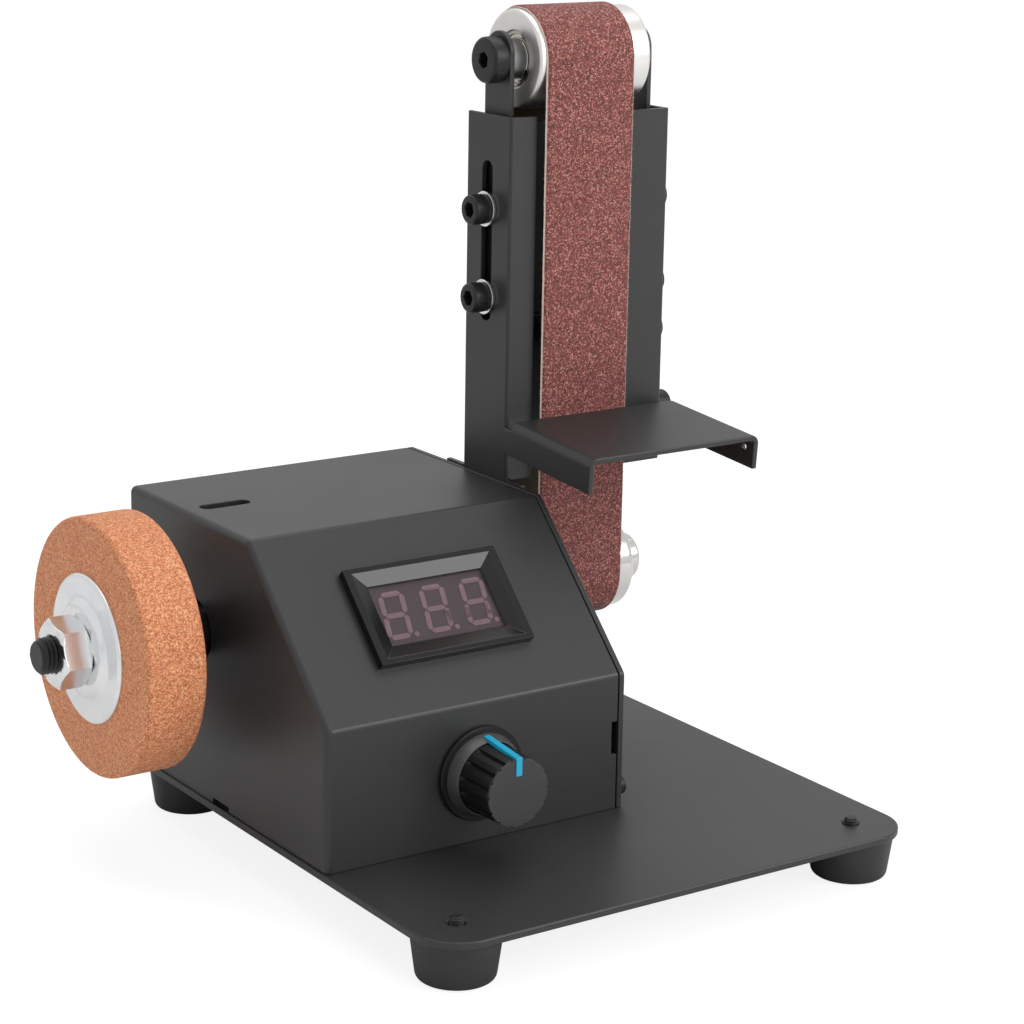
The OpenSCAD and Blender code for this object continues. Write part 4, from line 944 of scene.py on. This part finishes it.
def wheel_arbor():
    """Black arbor: a threaded M10 end, and a hub with its cross hole."""
    thread_r, hub_r, bore_r = 5, 7, 2.55
    shank, bored, whole = 29.7, 43, sizes("wheel_arbor").x
    pitch, axis_r, step = PITCH[2 * thread_r], 0.01, 0.4
    core = thread_r - pitch * 0.5
    body = turned([
        (axis_r, 0), (core - 0.5, 0), (core, 0.6), (core, shank), (thread_r, shank + step),
        (hub_r, shank + step), (hub_r, whole), (bore_r, whole), (bore_r, bored), (axis_r, bored)],
        96)
    winding = raised(thread(thread_r, pitch, shank - 1.0), 0.75)
    seat = on_spindle(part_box("wheel_arbor")[0].x)
    return keep("arbor_shape", lay(joined(body, winding), seat, RIGHT), "black_steel")


def drive_pulley():
    """Polished roller, with a hub that carries the grub screw."""
    bore, r, roller_l, hub_r, whole = 2.55, 13.9, 37.9, 7, 44.9
    outline = rounded([
        (bore, 0), (r - 0.8, 0), (r, 0.8), (r, roller_l - 1.6), (r - 1.6, roller_l),
        (hub_r + 1.2, 38.0), (hub_r, 39.0), (hub_r, whole - 0.8), (hub_r - 0.8, whole),
        (bore, whole)], 0.7, 4)
    return lathe_piece("drive_pulley", outline, "polished_aluminium")


def idler_pulley():
    """Polished roller with soft rims and a recess for each bearing."""
    length, r, seat_r, seat, hollow, lip = sizes("idler_pulley").x, 13.9, 8.05, 6, 7.2, 0.25
    rim = rounded([(seat_r, 0), (r, 0), (r, length), (seat_r, length)], 1.1, 6, closed=True)
    outline = [(seat_r, lip), (seat_r + 0.3, 0)] + [point for point in rim if point.x > 9] + [
        (seat_r + 0.3, length), (seat_r, length - lip), (seat_r, length - seat),
        (hollow, length - seat), (hollow, seat), (seat_r, seat)]
    return lathe_piece("idler_pulley", outline, "idler_aluminium")


def idler_bearings():
    """Ball bearings with a pressed shield between their two races."""
    w, bore, outer = 5, 4.03, 8
    near = [(bore, 0.3), (bore + 0.3, 0), (5.5, 0), (5.6, 0.15), (5.6, 0.55), (5.75, 0.55),
            (5.85, 0.3), (6.4, 0.22), (6.75, 0.35), (6.85, 0.5), (6.85, 0.15), (6.95, 0),
            (outer - 0.25, 0), (outer, 0.25)]
    far = [(r, w - z) for r, z in reversed(near)]
    pattern = keep("bearing", turned(near + far, 128), "bearing_steel")
    places = [(Vector((low.x, IDLER.y, IDLER.z)), RIGHT, 0)
              for low, _ in solids("idler_bearings")]
    return set_out("bearing_pair", pattern, places, "bearing_steel")


takes_over(rubber_feet(), "rubber_feet")
takes_over(grinding_wheel(), "grinding_wheel")
takes_over(outer_flange(), "outer_flange")
takes_over(inner_flange(), "inner_flange")
takes_over(arbor_nut(), "arbor_nut")
takes_over(wheel_arbor(), "wheel_arbor")
takes_over(drive_pulley(), "drive_pulley")
takes_over(idler_pulley(), "idler_pulley")
takes_over(idler_bearings(), "idler_bearings")


# The belt


def belt_loop(radius):
    """A loop of edges round both pulleys: a half circle and a straight run, twice."""
    x = middle("sanding_belt").x
    arc, run = 48, 110  # edges in each half circle and each straight run
    spots = []
    for here, there, side in ((IDLER, SPINDLE, radius * MM), (SPINDLE, IDLER, -radius * MM)):
        for k in range(arc + 1):
            angle = math.pi * k / arc
            spots.append((x, here.y + side * math.cos(angle), here.z + side * math.sin(angle)))
        for k in range(1, run):
            spots.append((x, here.y - side, here.z + (there.z - here.z) * k / run))
    loop = bmesh.new()
    verts = [loop.verts.new(spot) for spot in spots]
    for a, b in zip(verts, verts[1:] + verts[:1]):
        loop.edges.new((a, b))
    return loop


def sanding_belt():
    """The grit layer over its cloth, with loose fibres along the edges."""
    width, depth, _ = sizes("sanding_belt")
    outer = depth / 2
    pieces = []
    for name, finish, top, thick, broad in (
            ("belt_grit_layer", "abrasive", outer - 0.02, 0.42, width - 0.9),
            ("belt_cloth_layer", "belt_cloth", outer - 0.42, 0.36, width - 0.1)):
        pieces.append(worked(keep(name, belt_loop(top - thick / 2)), BELT_MAKING, {
            "Width": broad * MM, "Thickness": thick * MM, "Wander": 0.25 * MM,
            "Finish": FINISH[finish]}))
    pieces.append(worked(keep("belt_fibres", belt_loop(outer - 0.5)), FRAYING, {
        "Half Width": (width / 2 - 0.05) * MM, "Fibres": 1300, "Fibre": 0.6 * MM, "Seed": 4,
        "Finish": FINISH["belt_cloth"]}))
    return pieces


for piece in sanding_belt():
    piece.data.set_sharp_from_angle(angle=math.radians(40))
    takes_over(piece, "sanding_belt")


# The knob, whose pieces stand on the housing's front and point forward


def on_dial(node):
    """The spot on the dial's axis at the back of a node."""
    centre = middle("dial_shaft")
    return Vector((centre.x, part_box(node)[1].y, centre.z))


def knob_body():
    """A round grip with a groove between each pair of ribs, on a flat base."""
    base_r, base_t, foot_r, foot_t = sizes("knob_body").x / 2, 0.9, 9.85, 4.0
    face_r, face_z, top = sizes("knob_cap").x / 2, 5, sizes("knob_body").y
    grooves, depth, share, step, taper = 14, 0.8, 0.14, 20, 6
    n = grooves * step

    def ring(radius, z, cut):
        """A ring of points with its grooves cut to a share of their depth."""
        points = []
        for i in range(n):
            angle = math.tau * i / n + math.pi / 2
            near = abs((i / step + 0.5) % 1.0 - 0.5)
            dip = depth * cut * max(0.0, 1 - (near / share) ** 2)
            r = radius - dip - 0.18 * cut * (1 - (2 * near) ** 2)
            points.append(Vector((r * math.cos(angle), r * math.sin(angle), z)) * MM)
        return points

    loops = [ring(base_r - 0.3, 0, 0), ring(base_r, 0.3, 0), ring(base_r - 0.3, base_t, 0),
             ring(foot_r, base_t + 0.02, 0), ring(foot_r, foot_t, 0),
             ring(foot_r - 0.03, foot_t + 0.5, 0.6)]
    for k in range(taper + 1):
        t = k / taper
        loops.append(ring(foot_r - 0.05 + (face_r - foot_r + 0.1) * t,
                          face_z + (top - face_z - 0.6) * t, 1))
    loops += [ring(face_r, top - 0.3, 1), ring(face_r - 0.3, top, 0.7), ring(8, top, 0)]
    shape = lay(facing_out(skin(loops)), on_dial("knob_body"), FRONT)
    return keep("knob_grip", shape, "knob_black", 40)


def knob_skirt():
    """A smooth cone round the foot of the grip."""
    broad, tall, _ = sizes("knob_skirt")
    inner_r, top_r = 9.9, 10.3
    outline = rounded([(inner_r, 0), (broad / 2, 0), (top_r, tall), (inner_r, tall)],
                      0.15, 4, closed=True)
    return keep("knob_ring", lay(turned(outline, 128), on_dial("knob_skirt"), FRONT), "skirt_grey")


takes_over(knob_body(), "knob_body")
takes_over(knob_skirt(), "knob_skirt")


# Studio


def camera():
    """The photograph's viewpoint, with its focal length and centre in the photo's pixels."""
    back = Vector((-0.53193, -0.81183, 0.24079)).normalized()
    eye = Vector((-390.35, -592.72, 284.81)) * MM
    roll = math.radians(0.638)
    side, focal, centre_x, centre_y = 1024, 2739.7, 441.7, 469.2
    level = UP.cross(back).normalized()
    rise = back.cross(level)
    right = level * math.cos(roll) + rise * math.sin(roll)
    up = rise * math.cos(roll) - level * math.sin(roll)
    turn = Matrix((right, up, back)).transposed().to_4x4()
    lens = bpy.data.cameras.new("camera")
    lens.sensor_width = 36
    lens.lens = focal / side * lens.sensor_width
    lens.shift_x = (side / 2 - centre_x) / side
    lens.shift_y = (centre_y - side / 2) / side
    lens.clip_start, lens.clip_end = 0.01, 20
    seat = bpy.data.objects.new("camera", lens)
    seat.matrix_world = Matrix.Translation(eye) @ turn
    bpy.context.scene.collection.objects.link(seat)
    bpy.context.scene.camera = seat


def lamp(name, spot, size, power):
    """A white panel of a size in metres, aimed at the object."""
    light = bpy.data.lights.new(name, "AREA")
    light.shape = "RECTANGLE"
    light.size, light.size_y = size
    light.energy = power
    seat = bpy.data.objects.new(name, light)
    aimed = (Vector((0, 0, 0.1)) - Vector(spot)).to_track_quat("-Z", "Y")
    seat.matrix_world = Matrix.Translation(spot) @ aimed.to_matrix().to_4x4()
    bpy.context.scene.collection.objects.link(seat)


def world():
    """A white studio: full white where it is seen, softer where it is mirrored or lights."""
    sky = bpy.data.worlds.new("studio")
    sky.use_nodes = True
    recipe = Recipe(sky.node_tree)
    sky.node_tree.nodes.clear()
    ray = recipe.tree.nodes.new("ShaderNodeLightPath")
    seen = Wire(recipe, ray.outputs["Is Camera Ray"])
    mirrored = (Wire(recipe, ray.outputs["Is Glossy Ray"])
                + Wire(recipe, ray.outputs["Is Transmission Ray"]))
    strength = 0.56 + seen * 0.44 + mirrored * 0.26
    back = recipe.node("ShaderNodeBackground", feeds={"Color": (1, 1, 1, 1), "Strength": strength})
    end = recipe.tree.nodes.new("ShaderNodeOutputWorld")
    recipe.tree.links.new(back.socket, end.inputs["Surface"])
    bpy.context.scene.world = sky


def floor():
    """A pale floor that keeps the object's shadow."""
    shape = bmesh.new()
    reach = 4  # metres
    shape.faces.new([shape.verts.new((x, y, 0)) for x, y in (
        (-reach, -reach), (reach, -reach), (reach, reach), (-reach, reach))])
    stuff = Finish("floor", (0.9, 0.9, 0.9), Roughness=0.9)
    stuff.set("Base Color",
              stuff.mixed(stuff.noise(300, 2), (0.88, 0.88, 0.88), (0.92, 0.92, 0.92)))
    ray = stuff.tree.nodes.new("ShaderNodeLightPath")
    seen = Wire(stuff, ray.outputs["Is Camera Ray"])
    glow = stuff.node("ShaderNodeEmission", feeds={"Color": (1, 1, 1, 1), "Strength": 1.22})
    both = stuff.node("ShaderNodeMixShader", feeds={
        0: seen * 0.7, 1: Wire(stuff, stuff.shader.outputs[0]), 2: glow})
    stuff.tree.links.new(both.socket, stuff.tree.nodes["Material Output"].inputs["Surface"])
    FINISH["floor"] = stuff.material
    ground = keep("floor", shape, "floor")
    ground.location.z = -FLOOR_SINK


camera()
world()
floor()
lamp("overhead", (0.2, 0.2, 1.5), (1.4, 1.4), 8.2)
lamp("front", (0.2, -1.8, 0.35), (1.2, 0.8), 3)
lamp("front_right", (0.88, -1.2, 0.85), (0.75, 0.75), 10)
bpy.context.scene.view_settings.view_transform = "Standard"
